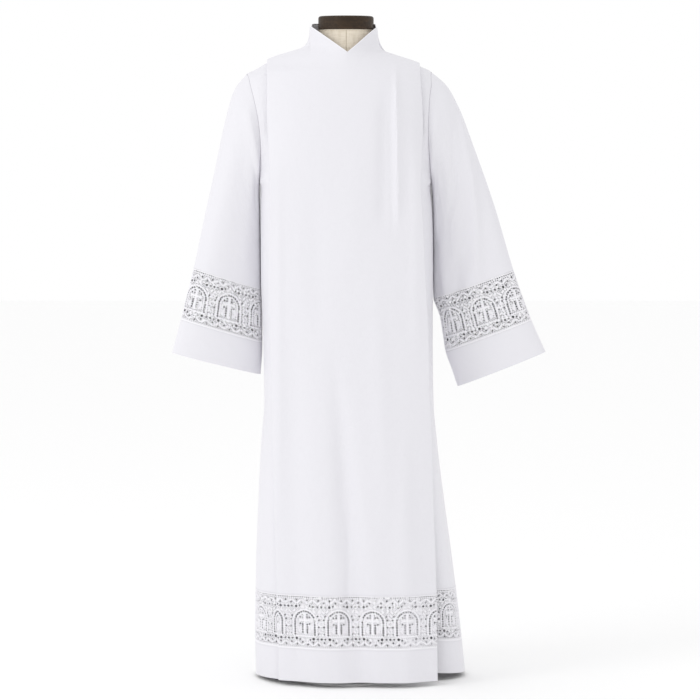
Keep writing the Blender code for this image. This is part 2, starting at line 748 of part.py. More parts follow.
def cloth(name, grid, finish, closed=False, cut=()):
    """Wall of cloth round a grid of mid-surface points, rows going up and columns going round.

    Cut holds the (row, column) cells that are left out; their edges are walled like the rim.
    """
    grid = np.array(grid)
    rows, columns = grid.shape[:2]
    normals = grid_normals(grid, closed)
    middle = grid.reshape(-1, 3)
    outer = (grid + normals * CLOTH / 2).reshape(-1, 3)
    inner = (grid - normals * CLOTH / 2).reshape(-1, 3)
    back = len(outer)
    cells = columns if closed else columns - 1
    faces, edges = [], {}
    for i in range(rows - 1):
        for j in range(cells):
            if (i, j) in cut:
                continue
            k = (j + 1) % columns
            a, b = i * columns + j, i * columns + k
            c, d = a + columns, b + columns
            if np.linalg.norm(middle[a] - middle[d]) <= np.linalg.norm(middle[b] - middle[c]):
                halves = (a, b, d), (a, d, c)
            else:
                halves = (a, b, c), (b, d, c)
            for face in halves:
                faces.append(face)
                faces.append(tuple(back + v for v in reversed(face)))
            for edge in ((a, b), (b, d), (d, c), (c, a)):
                edges[edge] = True
    for a, b in edges:
        if (b, a) not in edges:
            faces.append((b, a, back + a))
            faces.append((b, back + a, back + b))
    used = sorted({v for face in faces for v in face})
    place = {v: n for n, v in enumerate(used)}
    vertices = np.concatenate((outer, inner))[used]
    return add_object(name, vertices, [tuple(place[v] for v in f) for f in faces], finish)


def turned(name, profile, finish):
    """Solid turned about the Z axis from (radius, z) pairs, lowest first."""
    angles = [2 * math.pi * k / TURNED_SIDES for k in range(TURNED_SIDES)]
    return stacked(name, [[(r * math.cos(t), r * math.sin(t), z) for t in angles]
                          for r, z in profile], finish)


def stacked(name, rings, finish):
    """Closed solid through rings of points, lowest first, each going round from +X to +Y."""
    count = len(rings[0])
    vertices = [point for ring in rings for point in ring]
    faces = [tuple(reversed(range(count)))]
    for i in range(len(rings) - 1):
        for j in range(count):
            k = (j + 1) % count
            low, high = i * count, (i + 1) * count
            faces.append((low + j, low + k, high + k))
            faces.append((low + j, high + k, high + j))
    last = (len(rings) - 1) * count
    faces.append(tuple(range(last, last + count)))
    return add_object(name, vertices, faces, finish)


# ---- the robe's pieces -------------------------------------------------------------------------
def band_heights(panel):
    """Edges of a panel's hem band, its lace and its cloth, from the hem up."""
    hem = HEM_Z[panel]
    return hem, hem + HEM_BAND, hem + HEM_BAND + LACE_DEPTH


def panel_pieces(panel, point, stations, lace_station, length, phase, turns=()):
    """Hem band and lace of one panel, both cut from the same surface."""
    hem, low, high = band_heights(panel)
    band_rows = (hem, (hem + low) / 2, low - SEAM_GAP)
    cloth(f"hem_band_{panel}", [[point(s, h) for s in stations] for h in band_rows],
          "polyester_cloth")
    lines, gaps = lace_lines(length, phase, turns)
    places = [lace_station(line) for line in lines]
    top = high - SEAM_GAP
    rows = [low + (top - low) * part for part in LACE_ROWS]
    cloth(f"hem_lace_{panel}", [[point(s, h) for s in places] for h in rows],
          "polyester_lace", cut=gap_cells(lines, gaps))


def upper_heights(panel):
    """Rows of a panel's cloth, from the lace to the shoulder."""
    upper = [CHEST_Z + v * UPPER_SPAN for v in UPPER_ROWS]
    return [band_heights(panel)[2], *LOWER_ROWS, *upper]


def build_front():
    """Front panel with its folded edges, its lace and its hem band."""
    stations = front_stations(FRONT_TOP["a"][1:-1])
    heights = upper_heights("front") + [CHEST_Z + UPPER_SPAN + LAP]
    cloth("front_panel", [[front_station(s, h) for s in stations] for h in heights],
          "polyester_cloth")

    middle = HEM_Z["front"] + HEM_BAND + LACE_DEPTH / 2
    samples = np.linspace(-1, 1, 161)
    along = measured([front_face(a, middle) for a in samples])
    turn = math.pi * FOLD_GAP / 2
    face_start = LEFT_RETURN + turn
    face_end = face_start + along[-1]
    length = face_end + turn + RIGHT_RETURN

    def station(line):
        if line < LEFT_RETURN:
            return "return", "left", LEFT_RETURN - line
        if line < face_start:
            return "turn", "left", 180 * (1 - (line - LEFT_RETURN) / turn)
        if line <= face_end:
            return "face", "", float(np.interp(line - face_start, along, samples))
        if line <= face_end + turn:
            return "turn", "right", 180 * (line - face_end) / turn
        return "return", "right", line - face_end - turn

    def kept(start, end):
        return [start + (end - start) * d / 180 for d in TURN_STATIONS]

    turns = [(LEFT_RETURN, face_start, kept(LEFT_RETURN, face_start)),
             (face_end, face_end + turn, kept(face_end, face_end + turn))]
    xs = np.array([front_face(a, middle)[0] for a in samples])
    phase = face_start + float(np.interp(LACE_PHASE["front"], xs, along))
    panel_pieces("front", front_station, stations, station, length, phase, turns)


def build_side(side):
    """Side front with its lace and its hem band."""
    us = [-u for u in UNDER_STATIONS] + list(RUN_STATIONS)
    if side == "left":
        us.reverse()

    def point(u, height):
        return side_front(side, u, height)

    cloth(f"side_front_{side}", [[point(u, h) for u in us] for h in upper_heights(side)],
          "polyester_cloth")
    middle = HEM_Z[side] + HEM_BAND + LACE_DEPTH / 2
    samples = np.linspace(-1, 1, 121)
    along = measured([point(u, middle) for u in samples])
    length = along[-1]

    def station(line):
        place = line if side == "right" else length - line
        return float(np.interp(place, along, samples))

    fold = float(np.interp(0.0, samples, along))
    corner = fold if side == "right" else length - fold
    phase = SIDE_LACE_PHASE if side == "right" else length - SIDE_LACE_PHASE
    panel_pieces(side, point, us, station, length, phase, [(corner, corner, [corner])])


def build_back():
    """Back with its collar, its lace and its hem band."""
    qs = BACK_TOP["q"][::-1]
    cloth("back_panel", [[back_point(q, h) for q in qs] for h in upper_heights("back")],
          "polyester_cloth")
    middle = HEM_Z["back"] + HEM_BAND + LACE_DEPTH / 2
    samples = np.linspace(1, -1, 201)
    along = measured([back_point(q, middle) for q in samples])

    def station(line):
        return float(np.interp(line, along, samples))

    phase = along[-1] / 2 + LACE_PHASE["back"]
    panel_pieces("back", back_point, qs, station, along[-1], phase)


def build_sleeve(side):
    """Sleeve, its lace band in two halves, and its cuff."""
    angles = sleeve_angles()
    if side == "right":
        angles = [angles[0]] + angles[:0:-1]
    gap = SLEEVE_SEAM / LACE_DEPTH

    def rings(steps):
        return [[sleeve_point(side, angle, step) for angle in angles] for step in steps]

    cloth(f"sleeve_{side}", rings(SLEEVE_ROWS), "polyester_cloth", closed=True)
    cloth(f"cuff_{side}", rings((END_STEP, 6.5, CUFF_STEP + gap)), "polyester_cloth",
          closed=True)
    steps = [CUFF_STEP + (LACE_STEP + gap - CUFF_STEP) * part for part in LACE_ROWS]
    for face, first in (("front", 0.0), ("back", math.pi)):
        samples = np.linspace(first + HALF_GAP, first + math.pi - HALF_GAP, 121)
        if side == "right":
            samples = samples[::-1]
        along = measured([sleeve_point(side, angle, 5.5) for angle in samples])
        lines, gaps = lace_lines(along[-1], SLEEVE_LACE_PHASE[side])
        lines = sorted(set(lines) | {along[-1] * part for part in (0.03, 0.97)})
        places = [float(np.interp(line, along, samples)) for line in lines]
        grid = [[sleeve_point(side, angle, step) for angle in places] for step in steps]
        cloth(f"sleeve_lace_{side}_{face}", grid, "polyester_lace", cut=gap_cells(lines, gaps))


# ---- dress form and stand ----------------------------------------------------------------------
def form_ring(k):
    """One section of the dress form."""
    ring = []
    width, power = FORM["half_width"][k], FORM["power"][k]
    for j in range(FORM_SIDES):
        angle = 2 * math.pi * j / FORM_SIDES
        c, s = math.cos(angle), math.sin(angle)
        depth = FORM["back"][k] if s >= 0 else FORM["front"][k]
        x = math.copysign(abs(c) ** (2 / power), c) * width
        y = math.copysign(abs(s) ** (2 / power), s) * depth
        ring.append((x, y, FORM["z"][k]))
    return ring


def build_form():
    """Torso, neck cap, pole and base plate."""
    stacked("form_torso", [form_ring(k) for k in range(len(FORM["z"]))], "linen")
    edge = [(CAP_RADIUS - CAP_EDGE * (1 - math.sin(t)), CAP_TOP - CAP_EDGE * (1 - math.cos(t)))
            for t in (math.pi / 2, math.pi / 3, math.pi / 6, 0.0)]
    turned("form_neck_cap", [(CAP_RADIUS - 1, CAP_LOW), (CAP_RADIUS, CAP_LOW + 1)] + edge,
           "dark_wood")
    turned("stand_pole", [(POLE_RADIUS, BASE_DEPTH + PART_GAP),
                          (POLE_RADIUS, FORM["z"][0] - PART_GAP)], "pale_painted_steel")
    turned("stand_base", [(BASE_RADIUS, 0.0), (BASE_RADIUS, BASE_DEPTH - BASE_CHAMFER),
                          (BASE_RADIUS - BASE_CHAMFER, BASE_DEPTH)], "pale_painted_steel")


def main():
    for old in list(bpy.data.objects):
        bpy.data.objects.remove(old, do_unlink=True)
    build_front()
    build_back()
    for side in ("left", "right"):
        build_side(side)
        build_sleeve(side)
    build_form()


main()
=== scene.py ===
"""Alb robe with lace bands on a limbless dress form: finished cloth, lace, sewing and studio.

Sizes are millimetres until a mesh is made. +Z is up, the robe's front faces -Y, and the left
side is at -X. Every cloth piece is a thin shell on the form that its solid has.
"""
import logging
import math
from collections.abc import Callable, Sequence
from dataclasses import dataclass, field
from enum import Enum

import bpy
import numpy as np
from numpy.typing import NDArray
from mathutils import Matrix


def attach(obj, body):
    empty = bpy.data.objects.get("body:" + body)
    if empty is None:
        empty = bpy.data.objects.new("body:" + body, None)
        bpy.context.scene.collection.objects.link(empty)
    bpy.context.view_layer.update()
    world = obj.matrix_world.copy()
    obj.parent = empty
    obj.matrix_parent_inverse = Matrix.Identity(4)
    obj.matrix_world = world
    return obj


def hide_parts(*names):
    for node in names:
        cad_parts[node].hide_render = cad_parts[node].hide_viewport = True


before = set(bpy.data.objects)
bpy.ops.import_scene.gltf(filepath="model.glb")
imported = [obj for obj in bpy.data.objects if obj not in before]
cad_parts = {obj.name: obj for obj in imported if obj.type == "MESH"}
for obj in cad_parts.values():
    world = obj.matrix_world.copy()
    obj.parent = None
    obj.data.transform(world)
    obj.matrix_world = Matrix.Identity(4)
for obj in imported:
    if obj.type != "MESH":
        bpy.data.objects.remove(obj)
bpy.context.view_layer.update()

Array = NDArray[np.float64]
LOG = logging.getLogger("alb")
MM = 0.001
BODY = "root"

# ---- heights and gaps that several pieces share --------------------------------------------------
HEM_BAND = 74.0         # plain band at the hem
LACE_DEPTH = 120.0      # lace band above it
CHEST_Z = 1113.0        # underarm level: plain rows below it, shaped rows above
UPPER_SPAN = 250.0      # row parameter from the underarm to the shoulder
NECK_BASE = 1412.0      # rows lie level below this, and spread out to the collar's edge above it
COLLAR_CROWD = 16       # how late they spread out
COLLAR_EASE = 1.2       # how evenly they climb below the collar; 1 is quite even
SHOULDER_GAP = 0.3      # from the shoulder line to each piece that meets there
SHOULDER_LOW = 1345.0   # the shoulder line lies between these
SHOULDER_HIGH = 1489.0
SEAM = 0.15             # between two finished pieces that are sewn together
SHELL = 0.9             # finished cloth
BAND_SHELL = 1.3        # the hem bands and cuffs are double
ROW_STEP = 8.0          # of the fine grids
COLUMN_STEP = 5.0
LACE_ROW_STEP = 6.0     # of a hem lace's grid
BAND_ROW_STEP = 10.0    # of a hem band's
LACE_BAR = 1.85         # width of the lace net's bars where the hollow behind it is wide
SHADED_BAR = 1.45       # where that hollow is narrow and dark
TUBE_BACK_BAR = 2.1     # on the back half of a sleeve, seen through its front half


class Side(Enum):
    """Side of the robe in a front view."""

    LEFT = "left"
    RIGHT = "right"

    @property
    def sign(self) -> float:
        """Sign of X on this side."""
        return -1.0 if self is Side.LEFT else 1.0


class Face(Enum):
    """Front or back half."""

    FRONT = "front"
    BACK = "back"


class Panel(Enum):
    """Panels of the skirt, each with its own lace and hem band."""

    FRONT = "front"
    LEFT = "left"
    RIGHT = "right"
    BACK = "back"

    @property
    def hem(self) -> float:
        """Height of the panel's lower edge."""
        return {"front": 11.0, "left": 6.5, "right": 9.0, "back": 10.0}[self.value]


# ---- curves and small formulas -------------------------------------------------------------------
class Table:
    """Named columns of numbers, with a smooth monotone curve through each over the first one."""

    def __init__(self, names: str, rows: Sequence[Sequence[float]]) -> None:
        """Store the rows as columns.

        Args:
            names: column names, parted by spaces.
            rows: one row for each section or fold.
        """
        data = np.array(rows, dtype=float).T
        self.columns: dict[str, Array] = dict(zip(names.split(), data))
        self.key: Array = data[0]

    def __getitem__(self, name: str) -> Array:
        """Column of that name."""
        return self.columns[name]

    def part(self, first: float, last: float) -> "Table":
        """Rows whose key lies between first and last."""
        kept = (self.key >= first) & (self.key <= last)
        rows = np.array([column[kept] for column in self.columns.values()]).T
        return Table(" ".join(self.columns), rows)

    def at(self, name: str, value: Array | float) -> Array:
        """Read a column's smooth curve.

        Args:
            name: the column.
            value: places along the first column.

        Returns:
            The curve's value at each place.
        """
        xs, ys = self.key, self.columns[name]
        place = np.clip(value, xs[0], xs[-1])
        k = np.clip(np.searchsorted(xs, place, side="right") - 1, 0, len(xs) - 2)
        steps = np.diff(xs)
        slopes = np.diff(ys) / steps
        before, after = slopes[:-1], slopes[1:]
        total = np.where(before * after > 0, before + after, 1.0)
        inner = np.where(before * after > 0, 2 * before * after / total, 0.0)
        tangents = np.concatenate((slopes[:1], inner, slopes[-1:]))
        t = (place - xs[k]) / steps[k]
        return (ys[k] * (1 + 2 * t) * (1 - t) ** 2 + ys[k + 1] * t * t * (3 - 2 * t)
                + steps[k] * (tangents[k] * t * (1 - t) ** 2 - tangents[k + 1] * t * t * (1 - t)))


def soft_step(value: Array | float) -> Array:
    """0 below 0, 1 above 1, smooth between."""
    value = np.clip(value, 0.0, 1.0)
    return value * value * (3 - 2 * value)


def unit(vectors: Array) -> Array:
    """Vectors of length one, along the last axis."""
    return vectors / np.maximum(np.linalg.norm(vectors, axis=-1, keepdims=True), 1e-9)


def stack(x: Array | float, y: Array | float, z: Array | float) -> Array:
    """Points from coordinates of any shapes that fit together."""
    return np.stack(np.broadcast_arrays(x, y, z), axis=-1).astype(float)


def measured(points: Array) -> Array:
    """Length along a line of points, at each point."""
    steps = np.linalg.norm(np.diff(points, axis=0), axis=1)
    return np.concatenate(([0.0], np.cumsum(steps)))


def evenly(first: float, last: float, step: float) -> Array:
    """Even places from first to last, about a step apart."""
    return np.linspace(first, last, max(int(round(abs(last - first) / step)), 1) + 1)


def row_rise(height: Array | float, collar: Array | float = 0.0) -> Array:
    """How far a row above the underarm has climbed, 0 to 1.

    Args:
        height: row parameter, equal to z up to the underarm.
        collar: 1 where a column ends at the collar, 0 where it ends on the shoulder.

    Returns:
        The climb, crowded at the shoulder line and more even below the collar.
    """
    part = np.clip((np.asarray(height) - CHEST_Z) / UPPER_SPAN, 0.0, 1.0)
    return np.sin(part * math.pi / 2) * (1 - collar) + (1 - (1 - part) ** COLLAR_EASE) * collar


def row_z(top_z: Array, rise: Array) -> Array:
    """Height of a row in a column that ends at top_z: level below the neck's base."""
    base = np.minimum(top_z, NECK_BASE)
    return CHEST_Z + (base - CHEST_Z) * rise + (top_z - base) * rise ** COLLAR_CROWD


def collar_part(x: Array) -> Array:
    """How far a column that ends at x belongs to the collar: 0 on the shoulder, 1 on it."""
    return soft_step((150.0 - np.abs(x)) / 72.0)


@dataclass
class Creases:
    """Soft troughs and ridges of a panel, placed one by one."""

    rows: Table

    def depth(self, x: Array, z: Array) -> Array:
        """How far all creases together press the panel inwards.

        Args:
            x: places across.
            z: heights.

        Returns:
            The depth at each place; a ridge gives a negative one.
        """
        total = np.zeros(np.broadcast(x, z).shape)
        names = ("x_top", "z_top", "x_low", "z_low", "wide_top", "wide_low", "depth", "onset")
        for x_top, z_top, x_low, z_low, wide, wide_low, depth, onset in zip(
                *(self.rows[name] for name in names)):
            down = (z_top - z) / (z_top - z_low)
            middle = x_top + (x_low - x_top) * down
            width = np.maximum(wide + (wide_low - wide) * down, 1.0)
            fade = soft_step(down * onset) * soft_step((1 - down) * 5)
            total = total + depth * fade * np.exp(-((x - middle) / width) ** 2)
        return total


CREASE_NAMES = "x_top z_top x_low z_low wide_top wide_low depth onset"
FRONT_CREASES = Creases(Table(CREASE_NAMES, [
    (-30, 800, 50, -160, 14, 42, 14, 2.5),
    (112, 1400, 118, 1030, 9, 12, -3, 4),
    (110, 1400, 116, 1010, 4.5, 5, -3.4, 6),
    (88, 1350, 84, 1000, 16, 20, 6, 4),
    (99, 1330, 104, 990, 6, 7, 2.2, 4),
    (-120, 900, -104, -160, 22, 30, 5, 3),
    (128, 620, 140, -160, 20, 30, -6, 3),
    (6, 420, 2, 60, 7, 5, 2.2, 3),
    (150, 1330, 158, 700, 9, 16, -2.5, 3),
    (-148, 1250, -150, 300, 8, 12, -2.5, 3),
    (60, 1000, 96, 300, 16, 26, -3, 2),
    (-70, 1180, -60, 760, 20, 28, 2.5, 2),
    (20, 1240, 10, 900, 24, 34, -2, 2),
]))
BACK_CREASES = Creases(Table(CREASE_NAMES, [
    (-95, 1180, -125, -260, 16, 36, 19, 1.5),
    (-30, 1080, -35, -260, 14, 34, -15, 2),
    (42, 1180, 58, -260, 16, 38, 20, 1.5),
    (110, 1000, 150, -260, 16, 36, -12, 2),
    (-150, 1330, -140, 980, 9, 14, 2.5, 3),
    (140, 1330, 128, 960, 9, 14, 3, 3),
    (-60, 1330, -68, 900, 14, 22, -2.5, 3),
    (66, 1300, 80, 820, 14, 24, -2.5, 3),
]))


# ---- the torso that the upper robe follows -------------------------------------------------------
@dataclass
class Torso:
    """Form of the dressed torso. The under layer, back and side fronts, lies a little inside."""

    under_drop: float = 4.0
    tip_drop: float = 4.0
    under_inset: float = 4.0
    neck_step: float = 3.5
    sections: Table = field(default_factory=lambda: Table("z left right front back power", [
        (1100, 191, 189, 127, 118, 2.60),
        (1200, 203, 197, 122, 121, 2.55),
        (1290, 222, 206, 113, 116, 2.35),
        (1340, 230, 208, 104, 106, 2.05),
        (1371, 222, 195, 97, 97, 1.75),
        (1379, 206, 186, 94, 94, 1.62),
        (1388, 190, 165, 91, 91, 1.52),
        (1397.5, 173, 138, 88, 88, 1.45),
        (1406, 150, 111, 85, 86, 1.42),
        (1414.5, 121, 87, 82, 84, 1.46),
        (1423.5, 95, 76.5, 80, 82, 1.58),
        (1433, 86, 73.5, 78, 80, 1.75),
        (1446, 82.5, 71.5, 77, 79, 1.92),
        (1460, 81, 70, 76, 78, 2.0),
        (1490, 80.5, 69, 75, 77, 2.0),
    ]))

    def level(self, z: Array | float, under: bool) -> Array:
        """Height of the section that a layer has at a given height."""
        if not under:
            return np.asarray(z, dtype=float)
        return z + self.under_drop + self.tip_drop * soft_step((NECK_BASE - np.asarray(z)) / 27)

    def width(self, left: Array | bool, z: Array | float, under: bool) -> Array:
        """Half width to one side.

        Args:
            left: true for the left side.
            z: heights.
            under: true for the under layer.

        Returns:
            The half widths.
        """
        level = self.level(z, under)
        wide = np.where(left, self.sections.at("left", level), self.sections.at("right", level))
        if under:
            wide = wide - self.neck_step * soft_step((np.asarray(z) - 1405) / 35)
        return wide

    def depth(self, x: Array, z: Array, face: Face, under: bool) -> Array:
        """Distance of the torso's front or back from the plane y = 0."""
        level = self.level(z, under)
        power = self.sections.at("power", level)
        across = np.minimum(np.abs(x) / self.width(x < 0, z, under), 1.0)
        deep = self.sections.at(face.value, level) - (self.under_inset if under else 0.0)
        return deep * (1 - across ** power) ** (1 / power)

    def across(self, side: Side, y: Array, z: Array, face: Face) -> Array:
        """Half width of the under layer at a distance y from its middle."""
        level = self.level(z, True)
        power = self.sections.at("power", level)
        deep = self.sections.at(face.value, level) - self.under_inset
        along = np.minimum(np.abs(y) / deep, 1.0)
        wide = self.width(side is Side.LEFT, z, True)
        return wide * (1 - along ** power) ** (1 / power)

    def ridge(self, x: Array, under: bool) -> Array:
        """Height of the shoulder line above each x."""
        x = np.asarray(x, dtype=float)
        drop = self.under_drop + self.tip_drop if under else 0.0
        low = np.full(x.shape, SHOULDER_LOW - drop)
        high = np.full(x.shape, SHOULDER_HIGH)
        for _ in range(30):
            middle = (low + high) / 2
            inside = self.width(x < 0, middle, under) > np.abs(x)
            low, high = np.where(inside, middle, low), np.where(inside, high, middle)
        return low

    def fill(self, top: Table, under: bool) -> Table:
        """Give the columns that end on the shoulder line its height."""
        heights = self.ridge(top["x"], under)
        top.columns["z"] = np.where(top["ridge"] == 1, heights, top["z"])
        return top

    def top_point(self, top: Table, place: Array, under: bool) -> tuple[Array, Array]:
        """Where a column ends: on the shoulder line, or on the collar's or the neck's edge.

        Args:
            top: the panel's table of column ends.
            place: the column's place across the panel.
            under: true for the under layer.

        Returns:
            x and z of the column's end.
        """
        x, z = top.at("x", place), top.at("z", place)
        on_ridge = top.at("ridge", place) > 0.99
        return x, np.where(on_ridge, self.ridge(x, under), z)


TORSO = Torso()


# ---- grids of cloth ------------------------------------------------------------------------------
@dataclass
class ClothGrid:
    """Mid surface of one cloth piece, rows going up and columns going round it.

    Lines and heights are the places of its columns and rows on the flat cloth.
    """

    points: Array
    lines: Array
    heights: Array
    closed: bool = False

    def normals(self) -> Array:
        """Outward normals, by differences between neighbours."""
        if self.closed:
            across = np.roll(self.points, -1, axis=1) - np.roll(self.points, 1, axis=1)
        else:
            across = np.gradient(self.points, axis=1)
        return unit(np.cross(across, np.gradient(self.points, axis=0)))

    def area(self) -> float:
        """Area of the mid surface in square metres."""
        grid = self.points
        if self.closed:
            grid = np.concatenate((grid, grid[:, :1]), axis=1)
        a = grid[1:, 1:] - grid[:-1, :-1]
        b = grid[1:, :-1] - grid[:-1, 1:]
        return float(np.linalg.norm(np.cross(a, b), axis=2).sum() / 2) * MM * MM

    def flat(self) -> tuple[float, float]:
        """Width and length in metres of the cloth that the piece was cut from."""
        grid = self.points
        if self.closed:
            grid = np.concatenate((grid, grid[:, :1]), axis=1)
        wide = np.linalg.norm(np.diff(grid, axis=1), axis=2).sum(axis=1).max()
        long = np.linalg.norm(np.diff(grid, axis=0), axis=2).sum(axis=0).max()
        return float(wide) * MM, float(long) * MM

    def shell(self, thickness: float) -> tuple[Array, Array, Array, int]:
        """Closed thin wall round the mid surface.

        Args:
            thickness: of the wall.

        Returns:
            Vertices, quads, the flat place of each quad's corners, and how many quads each of
            the two faces has. The outer face comes first and the inner one next.
        """
        rows, columns = self.points.shape[:2]
        normals = self.normals() * thickness / 2
        outer, inner = self.points + normals, self.points - normals
        vertices = np.concatenate((outer.reshape(-1, 3), inner.reshape(-1, 3)))
        size = rows * columns
        cells = columns if self.closed else columns - 1
        i, j = np.meshgrid(np.arange(rows - 1), np.arange(cells), indexing="ij")
        i, j = i.ravel(), j.ravel()
        a, b = i * columns + j, i * columns + (j + 1) % columns
        c, d = a + columns, b + columns
        step = self.lines[-1] - self.lines[-2]
        places = np.append(self.lines, self.lines[-1] + step)
        left, right = places[j], places[j + 1]
        low, high = self.heights[i], self.heights[i + 1]
        quads = [np.stack((a, b, d, c), 1), np.stack((c, d, b, a), 1) + size]
        corner = [(left, low), (right, low), (right, high), (left, high)]
        flats = [np.stack([np.stack(p, 1) for p in corner], 1),
                 np.stack([np.stack(p, 1) for p in reversed(corner)], 1)]
        for row, flip in ((0, True), (rows - 1, False)):
            near = row * columns + np.arange(cells)
            far = row * columns + (np.arange(cells) + 1) % columns
            self._rim(quads, flats, (near, far), flip, size, (row, None))
        if not self.closed:
            for column, flip in ((0, False), (columns - 1, True)):
                near = np.arange(rows - 1) * columns + column
                self._rim(quads, flats, (near, near + columns), flip, size, (None, column))
        return vertices, np.concatenate(quads), np.concatenate(flats), len(a)

    def _rim(self, quads: list[Array], flats: list[Array], edge: tuple[Array, Array], flip: bool,
             size: int, place: tuple[int | None, int | None]) -> None:
        """Add the quads of one edge of the wall.

        Args:
            quads: list that takes the quads.
            flats: list that takes the flat places of their corners.
            edge: vertices along the edge, near and far end of each quad.
            flip: which way the edge goes round.
            size: number of outer vertices.
            place: row or column of the edge.
        """
        near, far = edge
        corners = (far, near, near + size, far + size)
        if not flip:
            corners = tuple(reversed(corners))
        quads.append(np.stack(corners, 1))
        line = self.lines[0] if place[1] is None else self.lines[place[1]]
        height = self.heights[0] if place[0] is None else self.heights[place[0]]
        flats.append(np.broadcast_to(np.array((line, height)), (len(near), 4, 2)))

    def place(self, line: Array, height: Array) -> tuple[Array, Array]:
        """Points of the mid surface and its normals, between the grid's own.

        Args:
            line: places along the flat cloth.
            height: places up it.

        Returns:
            The points and the unit normals there.
        """
        if not hasattr(self, "_normals"):
            self._normals = self.normals()
        s = np.clip(np.interp(line, self.lines, np.arange(len(self.lines))), 0,
                    len(self.lines) - 1.000001)
        t = np.clip(np.interp(height, self.heights, np.arange(len(self.heights))), 0,
                    len(self.heights) - 1.000001)
        j, i = s.astype(int), t.astype(int)
        fs, ft = (s - j)[..., None], (t - i)[..., None]
        mixed = [grid[i, j] * (1 - fs) * (1 - ft) + grid[i, j + 1] * fs * (1 - ft)
                 + grid[i + 1, j] * (1 - fs) * ft + grid[i + 1, j + 1] * fs * ft
                 for grid in (self.points, self._normals)]
        return mixed[0], unit(mixed[1])


# ---- materials -----------------------------------------------------------------------------------
def linear(code: str) -> tuple[float, float, float, float]:
    """Linear colour from an sRGB hex code such as D4C9B8."""
    parts = (int(code[k:k + 2], 16) / 255 for k in (0, 2, 4))
    red, green, blue = (p / 12.92 if p <= 0.04045 else ((p + 0.055) / 1.055) ** 2.4 for p in parts)
    return red, green, blue, 1.0


def add_node(tree: bpy.types.NodeTree, kind: str, settings: dict | None = None,
             inputs: dict | None = None) -> bpy.types.Node:
    """Add a node with its settings and links.

    Args:
        tree: the node tree.
        kind: type name of the node.
        settings: values for the node's properties.
        inputs: a value, or another node's output socket, for each named input.

    Returns:
        The node.
    """
    node = tree.nodes.new(kind)
    for name, value in (settings or {}).items():
        setattr(node, name, value)
    for name, value in (inputs or {}).items():
        if isinstance(value, bpy.types.NodeSocket):
            tree.links.new(value, node.inputs[name])
        else:
            node.inputs[name].default_value = value
    return node


@dataclass(frozen=True)
class Finish:
    """A real material: its name, colour, and how its surface was made."""

    name: str
    colour: str
    roughness: float
    ior: float = 1.5

    def build(self) -> bpy.types.Material:
        """Make the material, or return the one made before."""
        made = bpy.data.materials.get(self.name)
        if made:
            return made
        made = bpy.data.materials.new(self.name)
        made.use_nodes = True
        shader = made.node_tree.nodes["Principled BSDF"]
        shader.inputs["Base Color"].default_value = linear(self.colour)
        shader.inputs["Roughness"].default_value = self.roughness
        shader.inputs["IOR"].default_value = self.ior
        self.pattern(made.node_tree, shader)
        return made

    def pattern(self, tree: bpy.types.NodeTree, shader: bpy.types.Node) -> None:
        """Add what gives the surface its pattern; plain finishes have none."""

    def bump(self, tree: bpy.types.NodeTree, shader: bpy.types.Node,
             height: bpy.types.NodeSocket, depth: float) -> None:
        """Press a pattern into the surface.

        Args:
            tree: the material's nodes.
            shader: the surface shader.
            height: the pattern, 0 to 1.
            depth: its depth in metres.
        """
        pressed = add_node(tree, "ShaderNodeBump", inputs={"Distance": depth, "Height": height})
        tree.links.new(pressed.outputs["Normal"], shader.inputs["Normal"])

    def tint(self, tree: bpy.types.NodeTree, shader: bpy.types.Node,
             share: bpy.types.NodeSocket, other: str) -> None:
        """Mix a second colour into the first.

        Args:
            tree: the material's nodes.
            shader: the surface shader.
            share: how much of the second colour shows, 0 to 1.
            other: its sRGB code.
        """
        mix = add_node(tree, "ShaderNodeMix", {"data_type": "RGBA"}, {"Factor": share})
        mix.inputs[6].default_value = linear(self.colour)
        mix.inputs[7].default_value = linear(other)
        tree.links.new(mix.outputs[2], shader.inputs["Base Color"])


@dataclass(frozen=True)
class WovenPolyester(Finish):
    """Plain-woven polyester: matt, smooth, opaque, with faint soft unevenness from pressing."""

    uneven: float = 0.028       # metres between the soft marks that pressing leaves
    thread: float = 0.0024      # the real 0.3 mm threads don't show, so they are drawn this coarse

    def pattern(self, tree: bpy.types.NodeTree, shader: bpy.types.Node) -> None:
        """Soft pressing marks, and the weave's threads."""
        shader.inputs["Sheen Weight"].default_value = 0.12
        shader.inputs["Sheen Roughness"].default_value = 0.5
        place = add_node(tree, "ShaderNodeUVMap", {"uv_map": "cloth"})
        marks = add_node(tree, "ShaderNodeTexNoise", inputs={
            "Vector": place.outputs["UV"], "Scale": 1 / self.uneven, "Detail": 3.0})
        weave = add_node(tree, "ShaderNodeTexNoise", inputs={
            "Vector": place.outputs["UV"], "Scale": 1 / self.thread, "Detail": 1.0})
        both = add_node(tree, "ShaderNodeMath", {"operation": "MULTIPLY_ADD"})
        tree.links.new(weave.outputs["Factor" if "Factor" in weave.outputs else 0], both.inputs[0])
        both.inputs[1].default_value = 0.06
        tree.links.new(marks.outputs[0], both.inputs[2])
        self.bump(tree, shader, both.outputs[0], 0.0012)


@dataclass(frozen=True)
class LaceThread(Finish):
    """Twisted polyester lace thread: matt, a little softer and whiter than the cloth."""

    twist: float = 0.0022       # the real 0.4 mm twist is drawn this coarse so that it shows

    def pattern(self, tree: bpy.types.NodeTree, shader: bpy.types.Node) -> None:
        """Uneven thread."""
        place = add_node(tree, "ShaderNodeTexCoord")
        twist = add_node(tree, "ShaderNodeTexNoise", inputs={
            "Vector": place.outputs["Object"], "Scale": 1 / self.twist, "Detail": 1.0})
        self.bump(tree, shader, twist.outputs[0], 0.0005)


